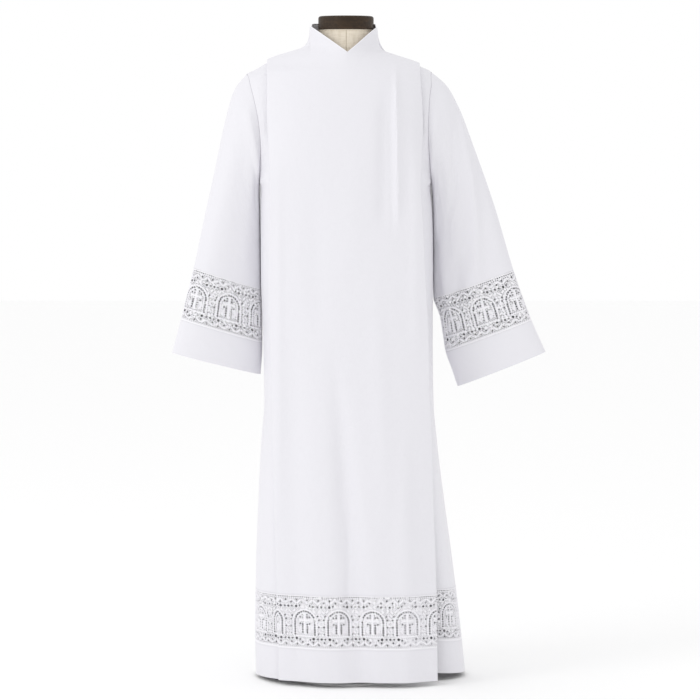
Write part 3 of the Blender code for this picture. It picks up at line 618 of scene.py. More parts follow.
@dataclass(frozen=True)
class WovenLinen(Finish):
    """Plain-woven unbleached linen: rough, warm grey-beige, with thicker threads here and there."""

    thread: float = 0.0030      # the real 0.7 mm threads are drawn this coarse so that they show
    slub: str = "D3C8B5"

    def pattern(self, tree: bpy.types.NodeTree, shader: bpy.types.Node) -> None:
        """Long uneven threads across and up."""
        place = add_node(tree, "ShaderNodeTexCoord")
        runs = []
        for stretch in ((1.0, 1.0, 0.12), (0.14, 0.14, 1.0)):
            turned = add_node(tree, "ShaderNodeMapping", inputs={
                "Vector": place.outputs["Object"], "Scale": stretch})
            runs.append(add_node(tree, "ShaderNodeTexNoise", inputs={
                "Vector": turned.outputs["Vector"], "Scale": 1 / self.thread, "Detail": 2.0}))
        both = add_node(tree, "ShaderNodeMath", {"operation": "MULTIPLY"})
        tree.links.new(runs[0].outputs[0], both.inputs[0])
        tree.links.new(runs[1].outputs[0], both.inputs[1])
        share = add_node(tree, "ShaderNodeMapRange", inputs={
            "Value": both.outputs[0], "From Min": 0.18, "From Max": 0.42})
        self.tint(tree, shader, share.outputs[0], self.slub)
        self.bump(tree, shader, both.outputs[0], 0.0009)


@dataclass(frozen=True)
class StainedWood(Finish):
    """Turned hardwood, stained dark and rubbed with wax: dull, with faint long grain."""

    grain: float = 0.004        # metres between the growth lines
    pale: str = "3E2E1E"

    def pattern(self, tree: bpy.types.NodeTree, shader: bpy.types.Node) -> None:
        """Long grain along X."""
        place = add_node(tree, "ShaderNodeTexCoord")
        turned = add_node(tree, "ShaderNodeMapping", inputs={
            "Vector": place.outputs["Object"], "Scale": (0.12, 1.0, 1.0)})
        grain = add_node(tree, "ShaderNodeTexNoise", inputs={
            "Vector": turned.outputs["Vector"], "Scale": 1 / self.grain, "Detail": 4.0})
        share = add_node(tree, "ShaderNodeMapRange", inputs={
            "Value": grain.outputs[0], "From Min": 0.4, "From Max": 0.7})
        self.tint(tree, shader, share.outputs[0], self.pale)


CLOTH = WovenPolyester("woven polyester cloth", "E3E2E7", 0.62)
# painted shade: the inner side is the same white cloth, coloured grey for the shade inside the robe
CLOTH_INSIDE_SHADE = WovenPolyester("woven polyester cloth, painted shade on the inner side", "8A888E", 0.75)
# painted shade: the lace thread's inner side, coloured grey for the shade inside the robe
LACE_INSIDE_SHADE = Finish("polyester lace thread, painted shade on the inner side", "727076", 0.8)
# painted shade, darker: the lace thread's inner side where it lines a narrow dark hollow or a
# sleeve
DEEP_SHADE = Finish("polyester lace thread, inside a narrow tube", "2C2A30", 0.85)
LACE = LaceThread("polyester lace thread", "EFEEF2", 0.7)
THREAD = Finish("polyester sewing thread", "DCDBE0", 0.6)
# painted highlight: the same cloth as the robe, coloured lighter where the rolled edge catches the
# light
NECK_EDGE_HIGHLIGHT = Finish("folded polyester edge, painted highlight", "F4F3F7", 0.55)
# painted shade: the grey line that the seam's ditch shows in shadow
SEAM_SHADE = Finish("seam ditch, painted shade", "A9A7AF", 0.9)
SEAM_THREAD = Finish("linen seam", "A99C85", 0.9)
RIM = Finish("bleached cotton cord", "E6DCCB", 0.85)
LINEN = WovenLinen("woven linen cover", "E2D8C8", 0.85)
WOOD = StainedWood("stained hardwood", "2C2014", 0.55, 1.35)
STEEL = Finish("pale powder-coated steel", "D8D8D8", 0.4)   # smooth, slightly glossy plastic skin
FLOOR = Finish("matt studio paper", "FCFCFC", 0.95)         # dull and even, almost white


# ---- meshes --------------------------------------------------------------------------------------
def add_mesh(name: str, vertices: Array, faces: Array, finish: Finish,
             flats: Array | None = None) -> bpy.types.Object:
    """Make an object from arrays.

    Args:
        name: object name.
        vertices: points in millimetres.
        faces: one row of vertex numbers for each face, all with as many corners.
        finish: its material.
        flats: flat place in millimetres of each face's corners, for the cloth's own pattern.

    Returns:
        The object, smooth-shaded.
    """
    mesh = bpy.data.meshes.new(name)
    count, corners = faces.shape
    mesh.vertices.add(len(vertices))
    mesh.vertices.foreach_set("co", (np.asarray(vertices) * MM).astype(np.float32).ravel())
    mesh.loops.add(count * corners)
    mesh.loops.foreach_set("vertex_index", faces.astype(np.int32).ravel())
    mesh.polygons.add(count)
    mesh.polygons.foreach_set("loop_start", np.arange(0, count * corners, corners, dtype=np.int32))
    mesh.update(calc_edges=True)
    if flats is not None:
        layer = mesh.uv_layers.new(name="cloth")
        layer.data.foreach_set("uv", (flats * MM).astype(np.float32).ravel())
    mesh.materials.append(finish.build())
    mesh.shade_smooth()
    mesh.set_sharp_from_angle(angle=math.radians(50))
    made = bpy.data.objects.new(name, mesh)
    bpy.context.scene.collection.objects.link(made)
    return made


def declare(piece: bpy.types.Object, finish: Finish, *nodes: str) -> bpy.types.Object:
    """Attach a piece to the body that it rides on and hide the solids that it stands for."""
    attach(piece, BODY)
    if nodes:
        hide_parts(*nodes)
    LOG.info("%s: %d faces", piece.name, len(piece.data.polygons))
    return piece


def add_cloth(node: str, grid: ClothGrid, thickness: float,
              unshaded_top: float = 0.0) -> bpy.types.Object:
    """Make one cloth piece and hide the solid that it stands for.

    Args:
        node: the solid that it stands for.
        grid: its mid surface.
        thickness: its wall.
        unshaded_top: how far down from its top edge the inner face keeps the cloth's own colour
            instead of the painted shade.

    Returns:
        The piece.
    """
    name = f"{node}_cloth"
    vertices, quads, flats, count = grid.shell(thickness)
    piece = declare(add_mesh(name, vertices, quads, CLOTH, flats), CLOTH, node)
    # The inner faces take the painted shade of the robe's inside, except the rows along the top
    # edge.
    piece.data.materials.append(CLOTH_INSIDE_SHADE.build())
    finishes = np.zeros(len(quads), dtype=np.int32)
    unshaded_rows = grid.heights[:-1] > grid.heights[-1] - unshaded_top
    finishes[count:2 * count] = np.repeat(np.where(unshaded_rows, 0, 1), count // len(unshaded_rows))
    piece.data.polygons.foreach_set("material_index", finishes)
    return piece


def refined(values: Array, point: Callable[[Array, Array], Array], step: float) -> Array:
    """Add even columns wherever two lie more than a step apart, at the hem or higher up.

    Args:
        values: places across that are kept.
        point: the surface, from places across and heights.
        step: widest gap between two columns.

    Returns:
        All places across.
    """
    levels = (CHEST_Z / 8, CHEST_Z, CHEST_Z + UPPER_SPAN)
    parts = []
    for first, last in zip(values[:-1], values[1:]):
        samples = np.linspace(first, last, 9)
        widest = max(measured(point(samples, np.full(9, level)))[-1] for level in levels)
        parts.append(np.linspace(first, last, max(math.ceil(widest / step), 1), endpoint=False))
    return np.concatenate(parts + [values[-1:]])


# ---- front panel ---------------------------------------------------------------------------------
@dataclass
class FrontPanel:
    """The front, with a folded edge at each side that is turned under."""

    fold_gap: float = 5.0
    tuck_short: float = 3.0
    returns: tuple[float, float] = (52.0, 30.0)
    lap: float = 9.0                # how far the front laps over the shoulder line
    lap_rows: tuple[float, ...] = (0.3, 0.55, 0.8, 1.0)
    underlap: float = 45.0
    lace_x: float = -16.0
    neck_point: float = 0.02        # place across of the neck's lowest point, a sharp corner
    # the end of the lap hangs down onto the back: places across, and how far it drops there
    drop_places: tuple[float, ...] = (-1.0, -0.8, -0.62, -0.5, -0.45, 0.45, 0.52, 0.62, 0.8, 1.0)
    drops: tuple[float, ...] = (5.6, 4.2, 2.3, 2.5, 0.0, 0.0, 3.6, 3.6, 6.0, 7.4)
    sections: Table = field(default_factory=lambda: Table(
        "z fold_left fold_right left_y right_y centre_y", [
            (8, -149, 203, -112, -122, -158),
            (281, -155, 198, -112, -120, -153),
            (416, -159, 193, -111, -117, -148),
            (550, -161, 190, -110, -114, -144),
            (640, -162, 185, -110, -112, -141),
            (795, -167, 181, -110, -111, -137),
            (907, -170, 175, -110, -110, -134),
            (995, -168, 171, -108, -108, -131),
            (1113, -166, 164, -104, -104, -127),
        ]))
    top: Table = field(default_factory=lambda: TORSO.fill(Table("a x z ridge bow lap", [
        (-1.00, -175, 0, 1, -5, 9),
        (-0.80, -143, 0, 1, -3, 9),
        (-0.64, -116, 0, 1, 0, 9),
        (-0.555, -98, 0, 1, 0, 9),
        (-0.515, -87.5, 1431.5, 0, 0, 9),
        (-0.475, -82.5, 1447, 0, 0, 8),
        (-0.44, -80, 1469, 0, 0, 3),
        (-0.41, -74, 1465, 0, 0, 0),
        (-0.30, -54, 1451, 0, 0, 0),
        (-0.14, -26, 1431, 0, 0, 0),
        (0.02, 3.5, 1410, 0, 0, 0),
        (0.18, 27, 1430, 0, 0, 0),
        (0.30, 47, 1448, 0, 0, 0),
        (0.385, 62, 1461, 0, 0, 0),
        (0.42, 69, 1466, 0, 0, 3),
        (0.455, 72, 1446, 0, 0, 8),
        (0.49, 76, 1432, 0, 0, 9),
        (0.54, 88, 0, 1, 0, 9),
        (0.62, 106, 0, 1, 0, 9),
        (0.69, 117, 0, 1, 0, 9),
        (0.78, 131, 0, 1, 2, 9),
        (0.90, 149, 0, 1, 4, 9),
        (1.00, 163, 0, 1, 6, 9),
    ]), False))

    def face(self, a: Array | float, height: Array) -> Array:
        """Points of the face.

        Args:
            a: places across, -1 at the left fold and 1 at the right one.
            height: row parameters.

        Returns:
            The points.
        """
        a = np.asarray(a, dtype=float)
        level = np.minimum(height, CHEST_Z)
        left, right = (self.sections.at(name, level) for name in ("fold_left", "fold_right"))
        x = left + (right - left) * (a + 1) / 2
        left_y, right_y = (self.sections.at(name, level) for name in ("left_y", "right_y"))
        edge = np.where(a < 0, left_y, right_y)
        y = edge + (self.sections.at("centre_y", level) - edge) * (1 - np.abs(a) ** 2.2)
        top_x, top_z = self.top_point(a)
        rise = row_rise(height, collar_part(top_x))
        upper = height > CHEST_Z
        z = np.where(upper, row_z(top_z, rise), height)
        bow = self.top.at("bow", a) * np.sin(math.pi * rise) ** 2
        x = np.where(upper, x + (top_x - x) * rise ** 2 + bow, x)
        chest = y + (-TORSO.depth(x, z, Face.FRONT, False) - y) * soft_step(rise / 0.5)
        y = np.where(upper, chest, y) + FRONT_CREASES.depth(x, z)
        lap = np.maximum(height - CHEST_Z - UPPER_SPAN, 0.0) / self.lap
        over = self.top.at("lap", a) * lap
        down = 0.1 * over + np.interp(a, self.drop_places, self.drops) * lap * lap
        return stack(x, y + over, z - down + 0.8 * lap * (over == 0))

    def top_point(self, a: Array) -> tuple[Array, Array]:
        """Where each column ends: x and z on the shoulder line, the collar or the neck's edge."""
        halves = (self.top.part(-1.0, self.neck_point), self.top.part(self.neck_point, 1.0))
        left, right = (TORSO.top_point(half, a, False) for half in halves)
        on_left = a < self.neck_point
        return np.where(on_left, left[0], right[0]), np.where(on_left, left[1], right[1])

    def normal(self, a: Array | float, height: Array) -> Array:
        """Outward normals of the face, smoothed over a few rows and columns."""
        a = np.asarray(a, dtype=float)
        top = CHEST_Z + UPPER_SPAN - 2
        low, high = np.minimum(height, top) - 12, np.minimum(height + 12, top)
        across = (self.face(np.minimum(a + 0.03, 1.0), height)
                  - self.face(np.maximum(a - 0.03, -1.0), height))
        return unit(np.cross(across, self.face(a, high) - self.face(a, low)))

    def inset(self, side: Side, distance: Array, height: Array) -> Array:
        """Place across that lies this far in from a fold."""
        level = np.minimum(height, CHEST_Z)
        width = self.sections.at("fold_right", level) - self.sections.at("fold_left", level)
        return side.sign * (1 - 2 * distance / width)

    def tucked(self, height: Array, part: Array | float) -> Array:
        """Rows of the turned-under edge, which stops short of the shoulder and has no lap."""
        top = CHEST_Z + UPPER_SPAN
        lap = np.maximum(height - top, 0.0) / self.lap
        short = np.minimum(height, top - self.tuck_short + lap)
        return height + (short - height) * part

    def outward(self, side: Side, height: Array) -> Array:
        """Direction in which the face runs out at its folded edge."""
        return unit(self.face(side.sign, height) - self.face(side.sign * 0.96, height))

    def turn(self, side: Side, degrees: Array, height: Array) -> Array:
        """Points round a folded edge: 0 on the face, 180 on the part that is turned under."""
        height = self.tucked(height, degrees / 180)
        normal, outward = self.normal(side.sign, height), self.outward(side, height)
        angle = np.radians(degrees)[..., None]
        radius = self.fold_gap / 2
        middle = self.face(side.sign, height) - normal * radius
        return middle + radius * (np.cos(angle) * normal + np.sin(angle) * outward)

    def under(self, side: Side, distance: Array, height: Array) -> Array:
        """Points of the turned-under edge, a distance in from the fold."""
        height = self.tucked(height, 1.0)
        a = self.inset(side, distance, height)
        return self.face(a, height) - self.normal(a, height) * self.fold_gap

    def grid(self, heights: Array) -> ClothGrid:
        """Fine grid of the whole panel between some heights, from left to right."""
        rows = heights[:, None]
        turns = np.linspace(0, 180, 10)
        faces = refined(self.top["a"], self.face, COLUMN_STEP)[1:-1]
        left, right = (evenly(reach, 0.0, COLUMN_STEP)[:-1] for reach in self.returns)
        points = np.concatenate((
            self.under(Side.LEFT, left[None], rows),
            self.turn(Side.LEFT, turns[None, ::-1], rows),
            self.face(faces[None], rows),
            self.turn(Side.RIGHT, turns[None], rows),
            self.under(Side.RIGHT, right[None, ::-1], rows)), axis=1)
        return ClothGrid(points, self.lines(left, turns, faces, right), heights)

    def lines(self, left: Array, turns: Array, faces: Array, right: Array) -> Array:
        """Place on the flat cloth of each column, measured at the middle of the lace."""
        samples, along = self.arc()
        arc = math.pi * self.fold_gap / 2
        start = self.returns[0] + arc
        end = start + along[-1]
        return np.concatenate((
            self.returns[0] - left,
            self.returns[0] + arc * (1 - turns[::-1] / 180),
            start + np.interp(faces, samples, along),
            end + arc * turns / 180,
            end + arc + right[::-1]))

    def arc(self) -> tuple[Array, Array]:
        """Places across and the length along the face, at the middle of the lace."""
        middle = Panel.FRONT.hem + HEM_BAND + LACE_DEPTH / 2
        samples = np.linspace(-1, 1, 321)
        return samples, measured(self.face(samples, np.full(samples.shape, middle)))

    def phase(self) -> float:
        """Line on the flat cloth that one lace medallion is centred on."""
        samples, along = self.arc()
        middle = Panel.FRONT.hem + HEM_BAND + LACE_DEPTH / 2
        xs = self.face(samples, np.full(samples.shape, middle))[:, 0]
        return (self.returns[0] + math.pi * self.fold_gap / 2
                + float(np.interp(np.interp(self.lace_x, xs, samples), samples, along)))

    def turned(self) -> list[tuple[float, float]]:
        """Stretches of the flat cloth that go round the folded edges."""
        length = self.arc()[1][-1]
        arc = math.pi * self.fold_gap / 2
        start = self.returns[0]
        return [(start, start + arc), (start + arc + length, start + 2 * arc + length)]


FRONT = FrontPanel()


# ---- side fronts and back ------------------------------------------------------------------------
SIDE_NAMES = "z seam_x seam_y setback lead_angle lead trail lift"
SIDE_SECTIONS = {
    Side.LEFT: Table(SIDE_NAMES, [
        (8, -204, 12, 13, 0, 70, 150, 4),
        (83, -206, 12, 12, 0, 70, 150, 4),
        (266, -203.5, 10, 10, 0, 66, 145, 2),
        (403, -198, 8, 9.5, 0, 60, 140, 0),
        (539, -191, 5, 9.5, 0, 50, 135, 0),
        (630, -184, 4, 9.5, 0, 42, 130, 0),
        (788, -187, 3, 9.5, 0, 36, 125, 0),
        (907, -191, 2, 9.5, 0, 36, 120, 0),
        (1113, -192, 0, 9.5, 0, 42, 110, 0),
    ]),
    Side.RIGHT: Table(SIDE_NAMES, [
        (8, 271, 32, 72, 40, 160, 180, 10),
        (83, 263, 30, 66, 36, 150, 175, 10),
        (266, 241, 24, 46, 26, 110, 160, 6),
        (403, 222, 18, 28, 14, 80, 150, 3),
        (539, 205, 10, 14, 4, 56, 140, 0),
        (630, 197, 6, 10, 0, 44, 130, 0),
        (788, 195, 4, 9.5, 0, 36, 125, 0),
        (907, 195.5, 2, 9.5, 0, 36, 120, 0),
        (1040, 194.6, 1, 9.5, 0, 39, 114, 0),
        (1113, 190, 0, 9.5, 0, 42, 110, 0),
    ]),
}
ARMHOLE_DEPTH = {Face.FRONT: 62.0, Face.BACK: 60.0}
TIP_X = {Side.LEFT: 222.0, Side.RIGHT: 191.0}
TIP_Z = {side: float(TORSO.ridge(side.sign * TIP_X[side], True)) for side in Side}


def armhole(side: Side, face: Face, rise: Array) -> Array:
    """Points of an armhole's edge: rise 0 at the underarm, 1 at the shoulder."""
    z = CHEST_Z + (TIP_Z[side] - CHEST_Z) * rise
    y = ARMHOLE_DEPTH[face] * 2 * np.sqrt(np.maximum(rise * (1 - rise), 0.0))
    x = side.sign * TORSO.across(side, y, z, face)
    return stack(x, -y if face is Face.FRONT else y, z)


def seam_point(side: Side, face: Face, height: Array) -> Array:
    """Where a side front or the back ends: at the side seam, or above it at the armhole."""
    sections = SIDE_SECTIONS[side]
    gap = (-SEAM if face is Face.FRONT else SEAM) / 2
    low = stack(sections.at("seam_x", height), sections.at("seam_y", height) + gap, height)
    return np.where((height > CHEST_Z)[..., None], armhole(side, face, row_rise(height)), low)


@dataclass
class SideFront:
    """Side front, from under the front panel's fold round to the side seam and the armhole."""

    side: Side
    lace_start: float = 40.0

    @property
    def panel(self) -> Panel:
        """The skirt panel that this piece is."""
        return Panel(self.side.value)

    def surface(self, u: Array, height: Array) -> Array:
        """Points: u -1 to 0 is under the front, 0 to 1 runs from its fold to the seam."""
        sections = SIDE_SECTIONS[self.side]
        level = np.minimum(height, CHEST_Z)
        setback = sections.at("setback", level)[..., None]
        a = FRONT.inset(self.side, np.maximum(-u, 0.0) * FRONT.underlap, height)
        under = FRONT.face(a, height) - FRONT.normal(a, height) * setback
        edge = self.side.sign
        normal, outward = FRONT.normal(edge, height), FRONT.outward(self.side, height)
        lead = np.radians(sections.at("lead_angle", level))[..., None]
        start = FRONT.face(edge, height) - normal * setback
        end = seam_point(self.side, Face.FRONT, height)
        chord = np.linalg.norm(end - start, axis=-1)
        rise = np.where(height > CHEST_Z, row_rise(height), 0.0)
        leave = outward * np.cos(lead) + normal * np.sin(lead)
        tangent = unit(stack(outward[..., 0], 0.9, outward[..., 2]))
        early = soft_step(rise * 5)[..., None]
        arrive = unit(np.array((0.0, 1.0, 0.0)) * (1 - early) + tangent * early)
        late = soft_step((rise - 0.9) / 0.1)[..., None]
        arrive = unit(arrive * (1 - late) + unit(end - start) * late)
        share = soft_step(rise * 4)
        lengths = [sections.at(name, level) for name in ("lead", "trail")]
        out, back = (((run + (chord - run) * share)[..., None]) for run in lengths)
        t = np.maximum(u, 0.0)[..., None]
        run = (start * (1 + 2 * t) * (1 - t) ** 2 + end * t * t * (3 - 2 * t)
               + leave * out * t * (1 - t) ** 2 - arrive * back * t * t * (1 - t))
        return np.where((u <= 0)[..., None], under, run)

    def point(self, u: Array, height: Array) -> Array:
        """Points of the side front, drawn to the shoulder line where it meets the back."""
        near = soft_step((height - CHEST_Z) / UPPER_SPAN * 2.5 - 1.5)
        lift = SIDE_SECTIONS[self.side].at("lift", np.minimum(height, CHEST_Z))
        moved = stack(0.0, 0.0, lift * (1 - soft_step(u)))
        end = self.surface(u, np.full(u.shape, CHEST_Z + UPPER_SPAN))
        line = stack(end[..., 0], -SHOULDER_GAP, TORSO.ridge(end[..., 0], True))
        return self.surface(u, height) + moved + (line - end) * near[..., None]

    def arc(self) -> tuple[Array, Array]:
        """Places u and the length along them, at the middle of the lace."""
        middle = self.panel.hem + HEM_BAND + LACE_DEPTH / 2
        samples = np.linspace(-1, 1, 241)
        return samples, measured(self.point(samples, np.full(samples.shape, middle)))

    def grid(self, heights: Array) -> ClothGrid:
        """Fine grid between some heights, from left to right."""
        samples, along = self.arc()
        us = np.concatenate((np.linspace(-1, 0, 8), np.linspace(0, 1, 34)[1:]))
        lines = np.interp(us, samples, along)
        if self.side is Side.LEFT:
            us, lines = us[::-1], along[-1] - lines[::-1]
        return ClothGrid(self.point(us[None], heights[:, None]), lines, heights)

    def phase(self) -> float:
        """Line on the flat cloth that one lace medallion is centred on."""
        length = self.arc()[1][-1]
        return self.lace_start if self.side is Side.RIGHT else length - self.lace_start

    def turned(self) -> list[tuple[float, float]]:
        """Line of the crease under the front's fold."""
        samples, along = self.arc()
        fold = float(np.interp(0.0, samples, along))
        corner = fold if self.side is Side.RIGHT else along[-1] - fold
        return [(corner, corner)]


@dataclass
class BackPanel:
    """The back, with deep soft folds and a collar that is cut in one with it."""

    lace_shift: float = 4.0
    sections: Table = field(default_factory=lambda: Table("z centre_y power", [
        (8, 152, 2.2),
        (403, 142, 2.4),
        (788, 128, 2.5),
        (1113, 118, 2.6),
    ]))
    top: Table = field(default_factory=lambda: TORSO.fill(Table("q x z ridge", [
        (-1.00, -222, 0, 1),
        (-0.975, -211, 0, 1),
        (-0.90, -182, 0, 1),
        (-0.80, -150, 0, 1),
        (-0.68, -120, 0, 1),
        (-0.57, -96, 0, 1),
        (-0.51, -83.5, 1429, 0),
        (-0.46, -78.5, 1448, 0),
        (-0.41, -76.5, 1474, 0),
        (-0.34, -66, 1476, 0),
        (-0.20, -38, 1477, 0),
        (-0.02, -6, 1478, 0),
        (0.16, 26, 1477, 0),
        (0.32, 53, 1475, 0),
        (0.41, 65.5, 1474, 0),
        (0.46, 68.5, 1448, 0),
        (0.51, 73.5, 1429, 0),
        (0.58, 82, 0, 1),
        (0.69, 102, 0, 1),
        (0.80, 128, 0, 1),
        (0.90, 158, 0, 1),
        (0.975, 182, 0, 1),
        (1.00, 191, 0, 1),
    ]), True))

    def point(self, q: Array, height: Array) -> Array:
        """Points: q from 1 at the right seam or armhole to -1 at the left one."""
        level = np.minimum(height, CHEST_Z)
        right, left = (seam_point(side, Face.BACK, height) for side in (Side.RIGHT, Side.LEFT))
        low_right, low_left = (seam_point(side, Face.BACK, level)
                               for side in (Side.RIGHT, Side.LEFT))
        part = (q + 1) / 2
        power = self.sections.at("power", level)
        seam_y = low_left[..., 1] + (low_right[..., 1] - low_left[..., 1]) * part
        y = seam_y + ((self.sections.at("centre_y", level) - seam_y)
                      * (1 - np.abs(q) ** power) ** (1 / power))
        x = low_left[..., 0] + (low_right[..., 0] - low_left[..., 0]) * part
        upper = height > CHEST_Z
        edge = np.where((q > 0)[..., None], right, left)
        tip = np.where(q > 0, TIP_X[Side.RIGHT], TIP_X[Side.LEFT])
        top_x, top_z = TORSO.top_point(self.top, q, True)
        rise = row_rise(height, collar_part(top_x))
        z = np.where(upper, row_z(top_z, rise), height)
        straight = q + (top_x / tip - q) * rise ** 2
        middle = (low_left[..., 0] + low_right[..., 0]) / 2 * (1 - rise) * (1 - np.abs(q))
        x = np.where(upper, np.abs(edge[..., 0]) * straight + middle, x)
        torso = TORSO.depth(x, z, Face.BACK, True)
        y = np.where(upper, y + (torso - y) * soft_step(rise / 0.3), y)
        end = (np.abs(q) == 1) & upper
        x, y, z = (np.where(end, edge[..., k], value) for k, value in enumerate((x, y, z)))
        y = y + SHOULDER_GAP * soft_step((height - CHEST_Z) / UPPER_SPAN * 3 - 2)
        return stack(x, y - BACK_CREASES.depth(x, z), z)

    def arc(self) -> tuple[Array, Array]:
        """Places q and the length along them, at the middle of the lace."""
        middle = Panel.BACK.hem + HEM_BAND + LACE_DEPTH / 2
        samples = np.linspace(1, -1, 401)
        return samples, measured(self.point(samples, np.full(samples.shape, middle)))

    def grid(self, heights: Array) -> ClothGrid:
        """Fine grid between some heights, from the right seam to the left one."""
        samples, along = self.arc()
        qs = refined(self.top["q"][1:-1], self.point, COLUMN_STEP)
        qs = np.concatenate(([-1.0], qs, [1.0]))[::-1]
        lines = np.interp(-qs, -samples, along)
        return ClothGrid(self.point(qs[None], heights[:, None]), lines, heights)

    def phase(self) -> float:
        """Line on the flat cloth that one lace medallion is centred on."""
        return self.arc()[1][-1] / 2 + self.lace_shift

    def turned(self) -> list[tuple[float, float]]:
        """No sharp turns."""
        return []


# ---- sleeves -------------------------------------------------------------------------------------
LACE_STEP = 5.0
CUFF_STEP = 6.0
END_STEP = 7.0
LACE_MIDDLE = 5.5       # where the columns' places on the flat cloth are measured
SLEEVE_NAMES = "step out_x out_z in_x in_z out_y in_y front back flat"
SLEEVE_SECTIONS = {
    Side.LEFT: Table(SLEEVE_NAMES, [
        (0, -222, 1363, -192, 1113, 0, 0, 62, 60, 2),
        (1, -250, 1327, -193.6, 1085, -2, 7, 60, 58, 2.4),
        (2, -269, 1265, -193.4, 1045, -4, 12, 53, 55, 2.9),
        (3, -297, 1135, -192.9, 985, -6, 17, 46, 49, 3),
        (4, -319, 1036, -192.5, 930, -8, 19, 41, 43, 3),
        (5, -342, 929, -191.6, 881, -9, 21, 37, 37, 2.8),
        (6, -371, 813, -190, 758, -10, 24, 35, 33, 2.6),
        (7, -391, 738, -194, 687, -10, 24, 33, 31, 2.4),
    ]),
    Side.RIGHT: Table(SLEEVE_NAMES, [
        (0, 191, 1368, 190, 1113, 0, 0, 62, 60, 2),
        (1, 226, 1336, 193.2, 1088, -2, 7, 60, 58, 2.4),
        (2, 255, 1283, 195.6, 1050, -4, 12, 53, 55, 2.9),
        (3, 292, 1185, 196.1, 990, -6, 17, 46, 49, 3),
        (4, 333, 1068, 196.3, 915, -8, 20, 41, 43, 3),
        (5, 376, 924, 197.8, 860, -9, 24, 37, 37, 2.8),
        (5.4, 393, 874.4, 214, 814, -9, 25, 36.5, 35.2, 2.7),
        (6, 417, 811, 226, 738, -10, 26, 35, 33, 2.6),
        (6.5, 433.5, 773.5, 240, 699, -10, 26, 34, 32, 2.5),
        (7, 449, 740, 253, 660, -10, 26, 33, 31, 2.4),
    ]),
}
SLEEVE_CREASE_NAMES = "angle drift half_width depth first last"
SLEEVE_CREASES = {
    Side.LEFT: Table(SLEEVE_CREASE_NAMES, [
        (128, 12, 18, 2.5, 1.0, 5.0),
        (134, 8, 13, 4.5, 0.4, 2.6),
        (262, -6, 22, 7, 0.6, 6.0),
        (60, 6, 20, -1.5, 1.0, 6.0),
        (40, -4, 10, 1.2, 2.0, 6.8),
        (230, 5, 10, -2.4, 1.0, 6.4),
        (292, 4, 11, -2.6, 1.4, 6.8),
    ]),
    Side.RIGHT: Table(SLEEVE_CREASE_NAMES, [
        (126, 4, 12, 3, 0.9, 4.6),
        (150, 2, 17, 6, 2.6, 6.2),
        (125, 4, 12, -3, 2.8, 6.0),
        (-18, 154, 11, -6, 1.6, 5.8),
        (-42, 154, 12, 3, 2.2, 5.8),
        (265, 4, 22, 9, 0.6, 6.5),
        (10, 196, 8, 2.6, 1.6, 3.6),
        (86, 24, 8, -2.4, 1.2, 4.6),
        (105, -3, 7, 1.6, 4.0, 6.6),
        (232, 4, 10, -2.6, 1.0, 6.6),
        (295, 3, 12, -2.8, 1.2, 6.8),
    ]),
}


